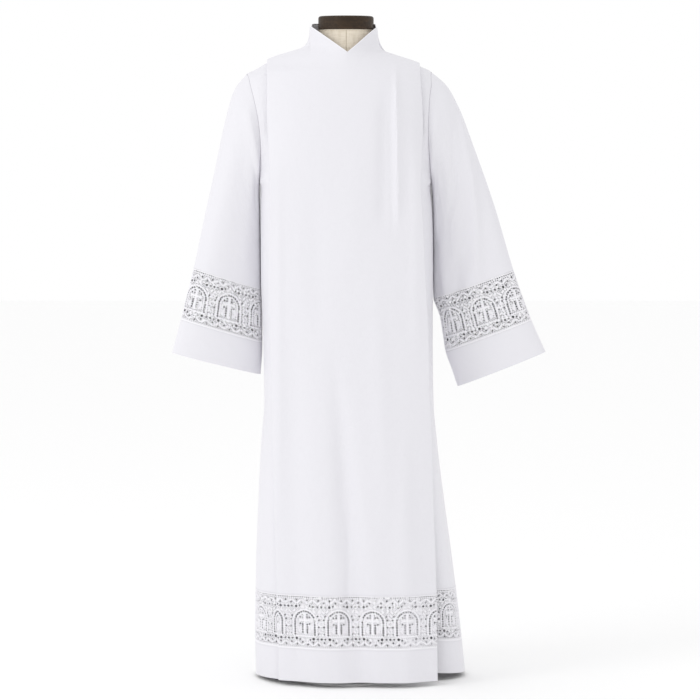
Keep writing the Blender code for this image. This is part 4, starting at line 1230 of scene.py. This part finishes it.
@dataclass
class Sleeve:
    """One sleeve, hanging a little away from the side, with its lace and cuff."""

    side: Side
    armhole_gap: float = 0.3
    underarm_gap: float = 1.2
    round_step: float = 3.6
    seam_groove: float = 1.0
    ease_angles: tuple[float, ...] = (52, 70, 84, 94, 110, 135, 150)
    ease_steps: tuple[float, ...] = (0.40, 0.48, 0.44, 0.42, 0.34, 0.16, 0.12)
    ease_height: dict[Side, float] = field(default_factory=lambda: {Side.LEFT: 6.0,
                                                                    Side.RIGHT: 4.0})

    def oval(self, angle: Array, step: Array | float) -> Array:
        """Points of plain oval sections between the outer and inner ends of the sleeve."""
        sections = SLEEVE_SECTIONS[self.side]
        outer = stack(*(sections.at(name, step) for name in ("out_x", "out_y", "out_z")))
        inner = stack(*(sections.at(name, step) for name in ("in_x", "in_y", "in_z")))
        front = np.sin(angle) >= 0
        depth = np.where(front, sections.at("front", step), sections.at("back", step))
        flat = np.where(front & (np.cos(angle) < 0), sections.at("flat", step), 2.0)
        across = np.sign(np.cos(angle)) * np.abs(np.cos(angle)) ** (2 / flat)
        away = np.sign(np.sin(angle)) * np.abs(np.sin(angle)) ** (2 / flat)
        point = (outer + inner) / 2 + (outer - inner) / 2 * across[..., None]
        return point - stack(0.0, depth * away, 0.0)

    def crease(self, angle: Array, step: Array) -> Array:
        """How far the lengthwise creases press the sleeve inwards."""
        table = SLEEVE_CREASES[self.side]
        total = np.zeros(np.broadcast(angle, step).shape)
        for middle, drift, wide, depth, first, last in zip(
                *(table[name] for name in SLEEVE_CREASE_NAMES.split())):
            fade = soft_step((step - first) / 0.8) * soft_step((last - step) / 0.8)
            away = (np.degrees(angle) % 360 - middle - drift * step / END_STEP) / wide
            total = total + depth * fade * np.exp(-away * away)
        return total

    def ease(self, angle: Array, step: Array) -> Array:
        """How far the cloth stands out where it was eased into the armhole's front."""
        place = np.degrees(angle) % 360
        line = np.interp(place, self.ease_angles, self.ease_steps)
        height = (self.ease_height[self.side] * soft_step((place - self.ease_angles[0]) / 22)
                  * soft_step((self.ease_angles[-1] - place) / 30))
        rising = soft_step(step / line)
        falling = np.exp(-((step - line) / 0.45) ** 2)
        return height * np.where(step < line, rising, falling)

    def point(self, angle: Array, step: Array) -> Array:
        """Points: angle 0 outer, pi/2 front, pi inner; step 0 at the armhole."""
        point = self.oval(angle, step)
        middle = (self.oval(np.zeros(1), step) + self.oval(np.full(1, math.pi), step)) / 2
        inward = (self.crease(angle, step) - self.ease(angle, step)
                  + self.seam_groove * np.exp(-(step / 0.05) ** 2))
        point = point - unit(point - middle) * inward[..., None]
        rise = (1 + np.cos(angle)) / 2
        edge = np.where((np.sin(angle) >= 0)[..., None], armhole(self.side, Face.FRONT, rise),
                        armhole(self.side, Face.BACK, rise))
        gap = self.armhole_gap + (self.underarm_gap - self.armhole_gap) * (1 - rise)
        edge = edge + stack(self.side.sign * gap, 0.0, 0.0)
        near = np.maximum(1 - step / 2, 0.0) ** 3
        return point + (edge - self.oval(angle, 0.0)) * near[..., None]

    def grid(self, steps: Array, first: float, last: float) -> ClothGrid:
        """Fine grid of part of the sleeve.

        Args:
            steps: rows, going up.
            first: lowest angle.
            last: highest angle; a whole turn after the first closes the grid.

        Returns:
            The grid, with columns in the order that keeps its outside outward.
        """
        closed = last - first > 2 * math.pi - 1e-6
        count = int((last - first) / math.pi * 175 / self.round_step)
        angles = np.linspace(first, last, count, endpoint=not closed)
        if self.side is Side.RIGHT:
            angles = angles[::-1]
        points = self.point(angles[None], steps[:, None])
        lines = measured(self.point(angles, np.full(angles.shape, LACE_MIDDLE)))
        middle = points.mean(axis=1)
        return ClothGrid(points, lines, measured(middle), closed)


# ---- lace and sewing -----------------------------------------------------------------------------
REPEAT = 78.0
WAVE = 13.0             # from each edge of the band to the middle of its wave
ARCH = 61.0             # height of the middle of the medallion's arch
EYELETS = ((-20.5, 23.5, 3.6), (20.5, 23.5, 3.6), (39.0, 23.5, 3.1),
           (-20.5, 95.5, 3.6), (20.5, 95.5, 3.6), (39.0, 95.5, 3.1))


def small_holes() -> list[tuple[float, float]]:
    """Places of one repeat's small holes, from its centre line and its foot."""
    holes = []
    for side in (-1, 1):
        holes += [(side * 5.6, v) for v in (38.0, 43.8, 49.6, 55.4, 71.8, 77.6)]
        holes += [(side * 11.4, v) for v in (57.0, 71.8)]
        holes += [(side * 23.8, v) for v in (33.0, 38.6, 44.2, 49.8, 55.4)]
        holes += [(side * 33.0, v) for v in (34.5, 50.5, 66.5)]
        holes += [(side * 12.5, v) for v in (21.5, 97.5)]
        holes += [(side * 30.5, v) for v in (23.5, 95.5, 74.5)]
    for angle in np.arange(0, 181, 13.85):
        t = math.radians(angle)
        holes.append((23.8 * math.cos(t), ARCH + 23.8 * math.sin(t)))
    for k in range(6):
        u = -REPEAT / 2 + (k + 0.5) * REPEAT / 6
        side = math.sin(u / REPEAT * 6 * math.pi)
        holes += [(u, WAVE - side * 2.6), (u, LACE_DEPTH - WAVE + side * 2.6)]
    return holes


def curve(points: Sequence[tuple[float, float]], step: float = 2.4) -> Array:
    """Path through flat points with even steps, straight between them."""
    corners = np.array(points, dtype=float)
    along = measured(corners)
    places = evenly(0.0, along[-1], step)
    return np.stack([np.interp(places, along, corners[:, k]) for k in (0, 1)], axis=1)


def round_path(middle: tuple[float, float], radius: float, first: float = 0.0,
               last: float = 360.0, step: float = 2.4) -> Array:
    """Path round part of a circle, from one angle in degrees to another."""
    count = max(int(math.radians(abs(last - first)) * radius / step), 7)
    t = np.radians(np.linspace(first, last, count + 1))
    return np.stack((middle[0] + radius * np.cos(t), middle[1] + radius * np.sin(t)), axis=1)


@dataclass
class ThreadWork:
    """Lace or sewing laid on one grid of cloth: bars, ribbons, leaves and stitches."""

    grid: ClothGrid
    flats: list[Array] = field(default_factory=list)
    faces: list[Array] = field(default_factory=list)
    inner: list[Array] = field(default_factory=list)
    count: int = 0

    def take(self, flat: Array, faces: Array, inner: Array) -> None:
        """Add flat vertices, given as place along, place up and distance out, and their faces.

        Args:
            flat: the vertices.
            faces: quads between them.
            inner: 1 for each quad that faces the inside of the robe and takes the inner side's
                material, a painted shade on lace; 0 for the others.
        """
        self.flats.append(flat.reshape(-1, 3))
        self.faces.append(faces + self.count)
        self.inner.append(inner)
        self.count += flat.size // 3

    def ribbon(self, path: Array, width: float, low: float, high: float,
               taper: float = 0.62) -> None:
        """Lay a strip along a flat path; one that ends where it starts is joined.

        Args:
            path: points along and up.
            width: of the strip at its foot.
            low: height of its underside over the mid surface.
            high: height of its top.
            taper: width of its top as a part of the foot's.
        """
        closed = len(path) > 3 and bool(np.allclose(path[0], path[-1]))
        if closed:
            path = path[:-1]
            along = unit(np.roll(path, -1, axis=0) - np.roll(path, 1, axis=0))
        else:
            along = unit(np.gradient(path, axis=0))
        across = np.stack((-along[:, 1], along[:, 0]), axis=1) * width / 2
        flat = np.stack([np.column_stack((path + across * side, np.full(len(path), out)))
                         for side, out in ((1, low), (taper, high), (-taper, high), (-1, low))], 1)
        n = len(path)
        i = np.arange(n if closed else n - 1)
        j = (i + 1) % n
        quads = [np.stack((i * 4 + k, i * 4 + (k + 1) % 4, j * 4 + (k + 1) % 4, j * 4 + k), 1)
                 for k in range(4)]
        inner = np.repeat((0, 0, 0, 1), len(i))
        if not closed:
            last = (n - 1) * 4
            quads.append(np.array([[3, 2, 1, 0], [last, last + 1, last + 2, last + 3]]))
            inner = np.append(inner, (0, 0))
        self.take(flat, np.concatenate(quads), inner)

    def leaf(self, middle: tuple[float, float], turn: float, long: float, wide: float,
             high: float = 1.1) -> None:
        """Lay a small pointed pad of thread.

        Args:
            middle: its place along and up.
            turn: direction of its length, in degrees.
            long: its length.
            wide: its width.
            high: its height over the mid surface.
        """
        t = np.radians(np.arange(0, 360, 60))
        rim = np.column_stack((np.cos(t) * long / 2, np.sin(t) * wide / 1.73))
        c, s = math.cos(math.radians(turn)), math.sin(math.radians(turn))
        spin = np.array(((c, s), (-s, c)))
        flat = np.concatenate([np.column_stack((rim * part @ spin + middle, np.full(6, out)))
                               for part, out in ((1.0, 0.1), (0.5, high))])
        i = np.arange(6)
        side = np.stack((i, (i + 1) % 6, (i + 1) % 6 + 6, i + 6), 1)
        ends = np.array([[6, 7, 8, 9], [6, 9, 10, 11], [3, 2, 1, 0], [5, 4, 3, 0]])
        self.take(flat, np.concatenate((side, ends)), np.repeat((0, 1), (8, 2)))

    def stitches(self, path: Array, pitch: float = 3.6, long: float = 2.7) -> None:
        """Lay a row of stitches along a flat path."""
        along = measured(path)
        for place in np.arange(pitch, along[-1] - pitch, pitch):
            ends = [[np.interp(p, along, path[:, k]) for k in (0, 1)]
                    for p in (place, place + long)]
            self.ribbon(np.array(ends), 0.8, 0.3, 0.95)

    def arrays(self) -> tuple[Array, Array, Array]:
        """All vertices laid on the cloth, quads, and which of these face inwards."""
        flat = np.concatenate(self.flats)
        points, normals = self.grid.place(flat[:, 0], flat[:, 1])
        laid = points + normals * flat[:, 2:]
        return laid, np.concatenate(self.faces), np.concatenate(self.inner)


@dataclass
class LaceBand:
    """Wide lace band: a diagonal net, eyelets, and a medallion that repeats along it."""

    grid: ClothGrid
    phase: float
    turned: list[tuple[float, float]]
    bars: int = 17          # of each slant in one repeat
    bar: float = LACE_BAR
    edge: float = 6.4       # depth of the ladder along each edge
    margin: float = 1.0
    hole: float = 2.6       # radius to the middle of a small hole's rim
    work: ThreadWork = field(init=False)

    def __post_init__(self) -> None:
        """Start with no threads."""
        self.work = ThreadWork(self.grid)
        self.depth = float(self.grid.heights[-1] - self.grid.heights[0])
        self.length = float(self.grid.lines[-1])

    def lay(self, path: Array, width: float, high: float = 1.0, low: float = 0.1) -> None:
        """Lay a ribbon, leaving out what lies past the band's ends."""
        inside = (path[:, 0] > self.margin) & (path[:, 0] < self.length - self.margin)
        runs = np.split(np.arange(len(path)), np.flatnonzero(np.diff(inside.astype(int))) + 1)
        for run in runs:
            if len(run) > 1 and inside[run[0]]:
                self.work.ribbon(self.lifted(path[run]), width, low, high)

    def lifted(self, path: Array) -> Array:
        """Path with its height counted from the foot of the grid."""
        return path * (1.0, self.depth / LACE_DEPTH) + (0.0, self.grid.heights[0])

    def pad(self, middle: tuple[float, float], turn: float, long: float, wide: float) -> None:
        """Lay a leaf if it lies inside the band."""
        if self.margin + long / 2 < middle[0] < self.length - self.margin - long / 2:
            place = self.lifted(np.array([middle]))[0]
            self.work.leaf((place[0], place[1]), turn, long, wide)

    def centres(self) -> Array:
        """Places of the medallions' centre lines, with one more at each end."""
        first = self.phase - REPEAT * math.ceil(self.phase / REPEAT + 1)
        return np.arange(first, self.length + REPEAT, REPEAT)

    def net(self) -> None:
        """Lay the bars of both slants, cut at the eyelets and at the band's ends."""
        pitch = REPEAT / self.bars
        rows = np.linspace(self.edge, LACE_DEPTH - self.edge, 17)
        holes = [(*place, self.hole) for place in small_holes()]
        eyes = np.array([(c + u, v, r) for c in self.centres() for u, v, r in (*EYELETS, *holes)])
        bends = np.concatenate([np.linspace(a, b, 7) for a, b in self.turned] or [[]])
        offset = self.phase % pitch
        for slant in (1.0, -1.0):
            span = (-LACE_DEPTH, self.length) if slant > 0 else (0.0, self.length + LACE_DEPTH)
            first = math.ceil((span[0] - offset) / pitch)
            for k in range(first, int((span[1] - offset) / pitch) + 1):
                self.bar_at(offset + (k + 0.25) * pitch, slant, rows, eyes, bends)

    def ladder(self, foot: float, up: float, tape: float, post: float) -> None:
        """Lay one edge of the band: a tape and a line with posts between them.

        Args:
            foot: height of the tape's outer edge.
            up: 1 if the ladder lies above that edge, -1 if below.
            tape: width of the tape.
            post: width of the posts.
        """
        line = evenly(self.margin, self.length - self.margin, 3.0)
        for out, width in ((tape / 2, tape), (self.edge - 0.6, 1.7)):
            path = np.stack((line, np.full(line.shape, foot + up * out)), 1)
            self.work.ribbon(self.lifted(path), width, -0.1, 0.7, 0.8)
        for place in np.arange(self.margin + 2, self.length - self.margin - 1, REPEAT / 15):
            ends = np.array([(place, foot + up * tape / 2), (place, foot + up * self.edge)])
            self.work.ribbon(self.lifted(ends), post, -0.1, 0.4, 0.8)

    def bar_at(self, foot: float, slant: float, rows: Array, eyes: Array, bends: Array) -> None:
        """Lay one bar of the net.

        Args:
            foot: its place along at the band's foot.
            slant: 1 if it leans towards the end of the band, -1 if towards the start.
            rows: heights of its joints.
            eyes: centre and radius of each eyelet.
            bends: lines on which the cloth turns sharply.
        """
        ends = sorted(((self.margin - foot) * slant, (self.length - self.margin - foot) * slant))
        low, high = max(rows[0], ends[0]), min(rows[-1], ends[1])
        if high - low < 1.5:
            return
        near = (foot + slant * eyes[:, 1] - eyes[:, 0]) * slant     # along the bar's height
        off = np.abs(near) / math.sqrt(2)
        cuts = []
        for (_, v, r), d, shift in zip(eyes[off < eyes[:, 2]], off[off < eyes[:, 2]],
                                       near[off < eyes[:, 2]]):
            half = math.sqrt(r * r - d * d) / math.sqrt(2)
            cuts.append((v - shift / 2 - half, v - shift / 2 + half))
        start = low
        for a, b in sorted(cuts) + [(high, high)]:
            if min(a, high) - start > 1.0:
                inner = [v for v in (*rows, *((bends - foot) * slant))
                         if start + 0.4 < v < min(a, high) - 0.4]
                v = np.array([start, *sorted(inner), min(a, high)])
                path = self.lifted(np.stack((foot + slant * v, v), axis=1))
                self.work.ribbon(path, self.bar, -0.12, 0.15, 0.8)
            start = max(start, b)

    def border(self, middle: float, up: float, centre: float) -> None:
        """Lay a wave.

        Args:
            middle: height of the wave's middle line.
            up: 1 at the foot of the band, -1 at its top.
            centre: centre line of the repeat.
        """
        u = np.linspace(-REPEAT / 2, REPEAT / 2, 37)
        wave = np.sin(u / REPEAT * 6 * math.pi)
        self.lay(np.stack((centre + u, middle + up * 3.6 * wave), 1), 2.9, 1.2)

    def medallion(self, c: float) -> None:
        """Lay an arch over a plain cross with an ear of wheat at each side.

        Args:
            c: its centre line.
        """
        for radius, width, foot in ((28.0, 3.2, 31.0), (19.8, 2.4, 36.0)):
            arch = round_path((c, ARCH), radius, 0, 180)
            post = evenly(foot, ARCH, 2.4)[:-1]
            right = np.stack((np.full(post.shape, c + radius), post), 1)
            left = np.stack((np.full(post.shape, c - radius), post[::-1]), 1)
            self.lay(np.concatenate((right, arch, left)), width, 1.2)
        base = np.linspace(-27, 27, 23)
        self.lay(np.stack((c + base, 29.0 + 1.0 * (base / 27) ** 2), 1), 3.0, 1.2)
        self.lay(curve([(c, 35), (c, 79)]), 4.8, 1.4)
        self.lay(curve([(c - 12, 64.5), (c + 12, 64.5)]), 4.8, 1.35)
        for u, v, turn in ((0, 79, 0), (0, 35.5, 0), (-12, 64.5, 90), (12, 64.5, 90)):
            self.pad((c + u, v), turn, 8.0, 4.6)
        for side in (-1, 1):
            rise = np.linspace(0, 1, 9)
            stem = np.stack((c + side * (10.5 + 3.0 * np.sin(rise * 2.4)), 35 + 17 * rise), 1)
            self.lay(stem, 2.0)
            for place in stem[2::2]:
                for lean in (-1, 1):
                    self.pad((place[0] + lean * 2.6, place[1] + 1.2), 90 - lean * 34, 5.4, 2.8)

    def between(self, c: float) -> None:
        """Lay rings and leaves on the line between two medallions."""
        for v, radius in ((58.0, 5.0), (42.0, 3.8), (75.0, 3.8)):
            self.lay(round_path((c, v), radius), 2.6, 1.2)
        for v, side in ((32.5, 1), (86.0, -1)):
            for lean in (-1, 1):
                self.pad((c + lean * 3.6, v), 90 - lean * side * 42, 7.0, 3.8)

    def corner(self, c: float) -> None:
        """Lay leaves at each shoulder of the arch and beside the eyelets."""
        for side in (-1, 1):
            for u, v, turn in ((5.0, 95.0, -24), (5.0, 21.5, 24), (24.0, 86.0, -40),
                               (34.0, 84.0, 50)):
                self.pad((c + side * u, v), side * turn, 8.0, 3.8)

    def build(self) -> ThreadWork:
        """Lay the whole band."""
        self.net()
        for centre in self.centres():
            self.border(WAVE, 1.0, centre)
            self.border(LACE_DEPTH - WAVE, -1.0, centre)
            self.medallion(centre)
            self.between(centre + REPEAT / 2)
            self.corner(centre)
            for u, v, radius in EYELETS:
                self.lay(round_path((centre + u, v), radius + 0.5, step=3.0), 1.8, 0.9)
            for u, v in small_holes():
                self.lay(round_path((centre + u, v), self.hole, step=3.0), 0.9, 0.6, -0.2)
        self.ladder(-0.4, 1.0, tape=4.4, post=2.6)
        self.ladder(LACE_DEPTH + 0.4, -1.0, tape=2.6, post=2.6)
        for end in (0.8, self.length - 0.8):
            rows = evenly(0.6, LACE_DEPTH - 0.6, 5.0)
            path = self.lifted(np.stack((np.full(rows.shape, end), rows), 1))
            self.work.ribbon(path, 1.4, -0.3, 0.6)
        return self.work


def add_threads(name: str, works: Sequence[ThreadWork], finish: Finish,
                inside: Finish) -> bpy.types.Object:
    """Make one object from laid threads.

    Args:
        name: the object's name.
        works: the threads, laid on one grid each.
        finish: their material.
        inside: the material of their inner side: a painted shade for lace, the thread itself for
            stitches.

    Returns:
        The object.
    """
    vertices, faces, inner, count = [], [], [], 0
    for work in works:
        points, quads, inwards = work.arrays()
        vertices.append(points)
        faces.append(quads + count)
        inner.append(inwards)
        count += len(points)
    made = add_mesh(name, np.concatenate(vertices), np.concatenate(faces), finish)
    made.data.materials.append(inside.build())
    made.data.polygons.foreach_set("material_index", np.concatenate(inner).astype(np.int32))
    return made


def add_lace(name: str, bands: Sequence[LaceBand], nodes: Sequence[str],
             inside: Finish = LACE_INSIDE_SHADE) -> None:
    """Make one lace piece from its bands and hide the solids that it stands for.

    Args:
        name: the piece's name.
        bands: its parts, one for each grid.
        nodes: the solids that it stands for.
        inside: the painted shade on its inner side.
    """
    threads = add_threads(name, [band.build() for band in bands], LACE, inside)
    piece = declare(threads, LACE, *nodes)
    sizes = [band.grid.flat() for band in bands]
    area = sum(band.grid.area() for band in bands)


def add_stitching(name: str, rows: Sequence[tuple[ClothGrid, float]]) -> None:
    """Sew rows of stitches.

    Args:
        name: the piece's name.
        rows: a grid and the height of the row on it, for each.
    """
    works = []
    for grid, height in rows:
        work = ThreadWork(grid)
        work.stitches(np.stack((grid.lines, np.full(grid.lines.shape, height)), 1))
        works.append(work)
    declare(add_threads(name, works, THREAD, THREAD), THREAD)


def cloth_rows(low: float) -> Array:
    """Rows of a panel's cloth from its lace up, closer together near the shoulder and collar."""
    top = CHEST_Z + UPPER_SPAN
    stages = ((low, CHEST_Z, ROW_STEP), (CHEST_Z, top - 50, 5.0), (top - 50, top - 12, 2.5),
              (top - 12, top, 1.2))
    return np.concatenate([evenly(*stage)[:-1] for stage in stages] + [np.array([top])])


def tube(path: Array, radius: float, sides: int = 8) -> tuple[Array, Array]:
    """Vertices and quads of a round roll of cloth or cord along a line of points."""
    ahead = unit(np.gradient(path, axis=0))
    across = unit(np.cross(ahead, np.array((0.0, 0.0, 1.0))))
    above = np.cross(across, ahead)
    t = np.radians(np.arange(sides) * 360 / sides)[:, None]
    rings = path[:, None] + radius * (np.cos(t) * across[:, None] + np.sin(t) * above[:, None])
    i, k = np.meshgrid(np.arange(len(path) - 1), np.arange(sides), indexing="ij")
    i, k = i.ravel() * sides, k.ravel()
    nxt = (k + 1) % sides
    quads = np.stack((i + k, i + sides + k, i + sides + nxt, i + nxt), 1)
    last = (len(path) - 1) * sides
    caps = [[0, 1, 2, 3], [0, 3, 4, 5], [0, 5, 6, 7]]
    ends = [[last + v for v in reversed(cap)] for cap in caps]
    return rings.reshape(-1, 3), np.concatenate((quads, caps, ends))


def add_roll(name: str, path: Array, radius: float, finish: Finish) -> None:
    """Make a thin roll along a line of points."""
    vertices, quads = tube(path, radius)
    declare(add_mesh(name, vertices, quads, finish), finish)


@dataclass
class SkirtPanel:
    """One panel of the robe: its cloth, its lace and its hem band."""

    panel: Panel
    maker: FrontPanel | SideFront | BackPanel
    node: str
    shaded: bool = False    # the lace lies over a narrow dark hollow: thinner bars, and a darker painted shade on its inner side
    unshaded_top: float = 45.0

    def build(self) -> None:
        """Make the cloth pieces of the panel."""
        low = self.panel.hem + HEM_BAND
        high = low + LACE_DEPTH
        rows = cloth_rows(high)
        if self.panel is Panel.FRONT:
            rows = np.concatenate((rows, rows[-1] + FRONT.lap * np.array(FRONT.lap_rows)))
        cloth = self.maker.grid(rows)
        above = add_cloth(self.node, cloth, SHELL, unshaded_top=self.unshaded_top)
        node = f"hem_lace_{self.panel.value}"
        lace = self.maker.grid(evenly(low, high - SEAM, LACE_ROW_STEP))
        # The lace's inner side takes a painted shade, darker where the hollow behind it is narrow.
        bar, shade = (SHADED_BAR, DEEP_SHADE) if self.shaded else (LACE_BAR, LACE_INSIDE_SHADE)
        band = LaceBand(lace, self.maker.phase(), self.maker.turned(), bar=bar)
        add_lace(f"{node}_threads", [band], [node], shade)
        foot = self.maker.grid(evenly(self.panel.hem, low - SEAM, BAND_ROW_STEP))
        add_cloth(f"hem_band_{self.panel.value}", foot, BAND_SHELL)
        add_stitching(f"hem_stitching_{self.panel.value}", [(cloth, high + 2.0), (foot, low - 2.5)])


@dataclass
class SleeveSet:
    """A sleeve with its lace band and its cuff."""

    sleeve: Sleeve
    lace_start: float

    def build(self) -> None:
        """Make the pieces of one sleeve."""
        side = self.sleeve.side.value
        turn = 2 * math.pi
        gap = 0.003
        name, cuff = f"sleeve_{side}", f"cuff_{side}"
        above = add_cloth(name, self.sleeve.grid(evenly(LACE_STEP, 0.0, 0.06), 0.0, turn), SHELL)
        rows = evenly(CUFF_STEP, LACE_STEP + gap, 0.06)
        halves = [self.sleeve.grid(rows, first + 0.002, first + math.pi - 0.002)
                  for first in (0.0, math.pi)]
        lace = f"sleeve_lace_{side}"
        bands = [LaceBand(half, self.lace_start, [], bar=bar)
                 for half, bar in zip(halves, (SHADED_BAR, TUBE_BACK_BAR))]
        # The lace's inner side takes the dark painted shade of the inside of the sleeve.
        add_lace(f"{lace}_threads", bands, [f"{lace}_{face.value}" for face in Face],
                 DEEP_SHADE)
        rows = evenly(END_STEP, CUFF_STEP + gap, 0.12)
        add_cloth(cuff, self.sleeve.grid(rows, 0.0, turn), BAND_SHELL)


@dataclass
class ArmholeSeamShade:
    """Painted shade along one armhole's seam ditch: a thin grey roll from the underarm round the
    front and the back.
    """

    side: Side
    radius: float = 0.55
    foot: float = 0.04

    def build(self) -> None:
        """Make the roll of painted shade along the seam."""
        rise = 0.5 - 0.5 * np.cos(np.linspace(math.acos(1 - 2 * self.foot), math.pi, 80))
        path = np.concatenate((armhole(self.side, Face.FRONT, rise),
                               armhole(self.side, Face.BACK, rise[::-1])[1:]))
        shift = stack(self.side.sign * 0.15, 0.0, 0.0)
        add_roll(f"armhole_seam_shade_{self.side.value}", path + shift, self.radius, SEAM_SHADE)


@dataclass
class NeckEdges:
    """Narrow rolled edges round the neck opening, front and back, coloured lighter than the cloth
    as a painted highlight.
    """

    radius: float = 0.9
    front_reach: tuple[float, float] = (-0.435, 0.41)
    back_reach: float = 0.43

    def build(self) -> None:
        """Make both edges."""
        top = CHEST_Z + UPPER_SPAN
        corner = FRONT.neck_point
        places = np.concatenate((np.linspace(self.front_reach[0], corner, 40)[:-1],
                                 np.linspace(corner, self.front_reach[1], 40)))
        edge = FRONT.face(places, np.full(places.shape, top))
        add_roll("neck_edge_front", edge, self.radius, NECK_EDGE_HIGHLIGHT)
        places = np.linspace(self.back_reach, -self.back_reach, 60)
        edge = BackPanel().point(places, np.full(places.shape, top))
        add_roll("neck_edge_back", edge, self.radius, NECK_EDGE_HIGHLIGHT)


@dataclass
class DressForm:
    """The limbless form, its neck cap and its stand: solids with a seam and a rim added."""

    neck_radius: float = 60.2
    seam_foot: float = 1396.0
    rim_height: float = 1460.6
    throat: tuple[tuple[float, float], ...] = ((1395, 73), (1406, 70), (1418, 65), (1432, 61.5),
                                               (1460.7, 60))     # height and depth of its front
    finishes: dict[str, Finish] = field(default_factory=lambda: {
        "form_torso": LINEN, "form_neck_cap": WOOD, "stand_pole": STEEL, "stand_base": STEEL})

    def build(self) -> None:
        """Give the solids their finishes and add the neck's seam and rim."""
        for node, finish in self.finishes.items():
            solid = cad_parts[node]
            solid.data.materials.clear()
            solid.data.materials.append(finish.build())
        z = evenly(self.seam_foot, self.rim_height - 1, 6.0)
        depth = np.interp(z, *zip(*self.throat)) + 0.1
        add_roll("neck_seam", stack(0.5, -depth, z), 0.5, SEAM_THREAD)
        bpy.ops.mesh.primitive_torus_add(
            major_segments=96, minor_segments=8, major_radius=(self.neck_radius + 0.6) * MM,
            minor_radius=0.9 * MM, location=(0, 0, self.rim_height * MM))
        rim = bpy.context.active_object
        rim.name = "neck_rim_cord"
        bpy.ops.object.transform_apply(location=True, rotation=True, scale=True)
        bpy.ops.object.shade_smooth()
        rim.data.materials.append(RIM.build())
        declare(rim, RIM)


@dataclass
class Studio:
    """Plain pale floor, soft light and the camera."""

    eye: tuple[float, float, float] = (0.009, -7.0, 1.253)
    aim: float = 0.743
    lens: float = 160.0
    key_place: tuple[float, float, float] = (-3.9, -2.7, 2.9)
    key_turn: tuple[float, float, float] = (68.0, 0.0, -55.0)   # degrees

    def build(self) -> None:
        """Make the floor, the lights and the camera."""
        bpy.ops.mesh.primitive_plane_add(size=30, location=(0, 0, -0.0005))
        floor = bpy.context.active_object
        floor.name = "floor"
        floor.data.materials.append(FLOOR.build())
        world = bpy.data.worlds.new("studio")
        world.use_nodes = True
        back = world.node_tree.nodes["Background"]
        back.inputs["Color"].default_value = (1, 1, 1, 1)
        back.inputs["Strength"].default_value = 1.0
        bpy.context.scene.world = world
        light = bpy.data.lights.new("key", "AREA")
        light.energy = 42
        light.size = 2.0
        key = bpy.data.objects.new("key", light)
        key.location = self.key_place
        key.rotation_euler = [math.radians(turn) for turn in self.key_turn]
        bpy.context.scene.collection.objects.link(key)
        camera = bpy.data.cameras.new("camera")
        camera.lens = self.lens
        camera.sensor_width = 36.0
        made = bpy.data.objects.new("camera", camera)
        made.location = self.eye
        made.rotation_euler = (math.pi / 2 - math.atan2(self.eye[2] - self.aim, -self.eye[1]), 0, 0)
        bpy.context.scene.collection.objects.link(made)
        bpy.context.scene.camera = made
        bpy.context.scene.view_settings.view_transform = "Standard"


def main() -> None:
    """Build everything."""
    logging.basicConfig(level=logging.INFO, format="%(message)s")
    SkirtPanel(Panel.FRONT, FRONT, "front_panel").build()
    SkirtPanel(Panel.LEFT, SideFront(Side.LEFT), "side_front_left", shaded=True).build()
    SkirtPanel(Panel.RIGHT, SideFront(Side.RIGHT), "side_front_right", shaded=True).build()
    SkirtPanel(Panel.BACK, BackPanel(), "back_panel").build()
    SleeveSet(Sleeve(Side.LEFT), 30.0).build()
    SleeveSet(Sleeve(Side.RIGHT), 42.0).build()
    for side in Side:
        ArmholeSeamShade(side).build()
    NeckEdges().build()
    DressForm().build()
    Studio().build()


if __name__ == "__main__":
    main()
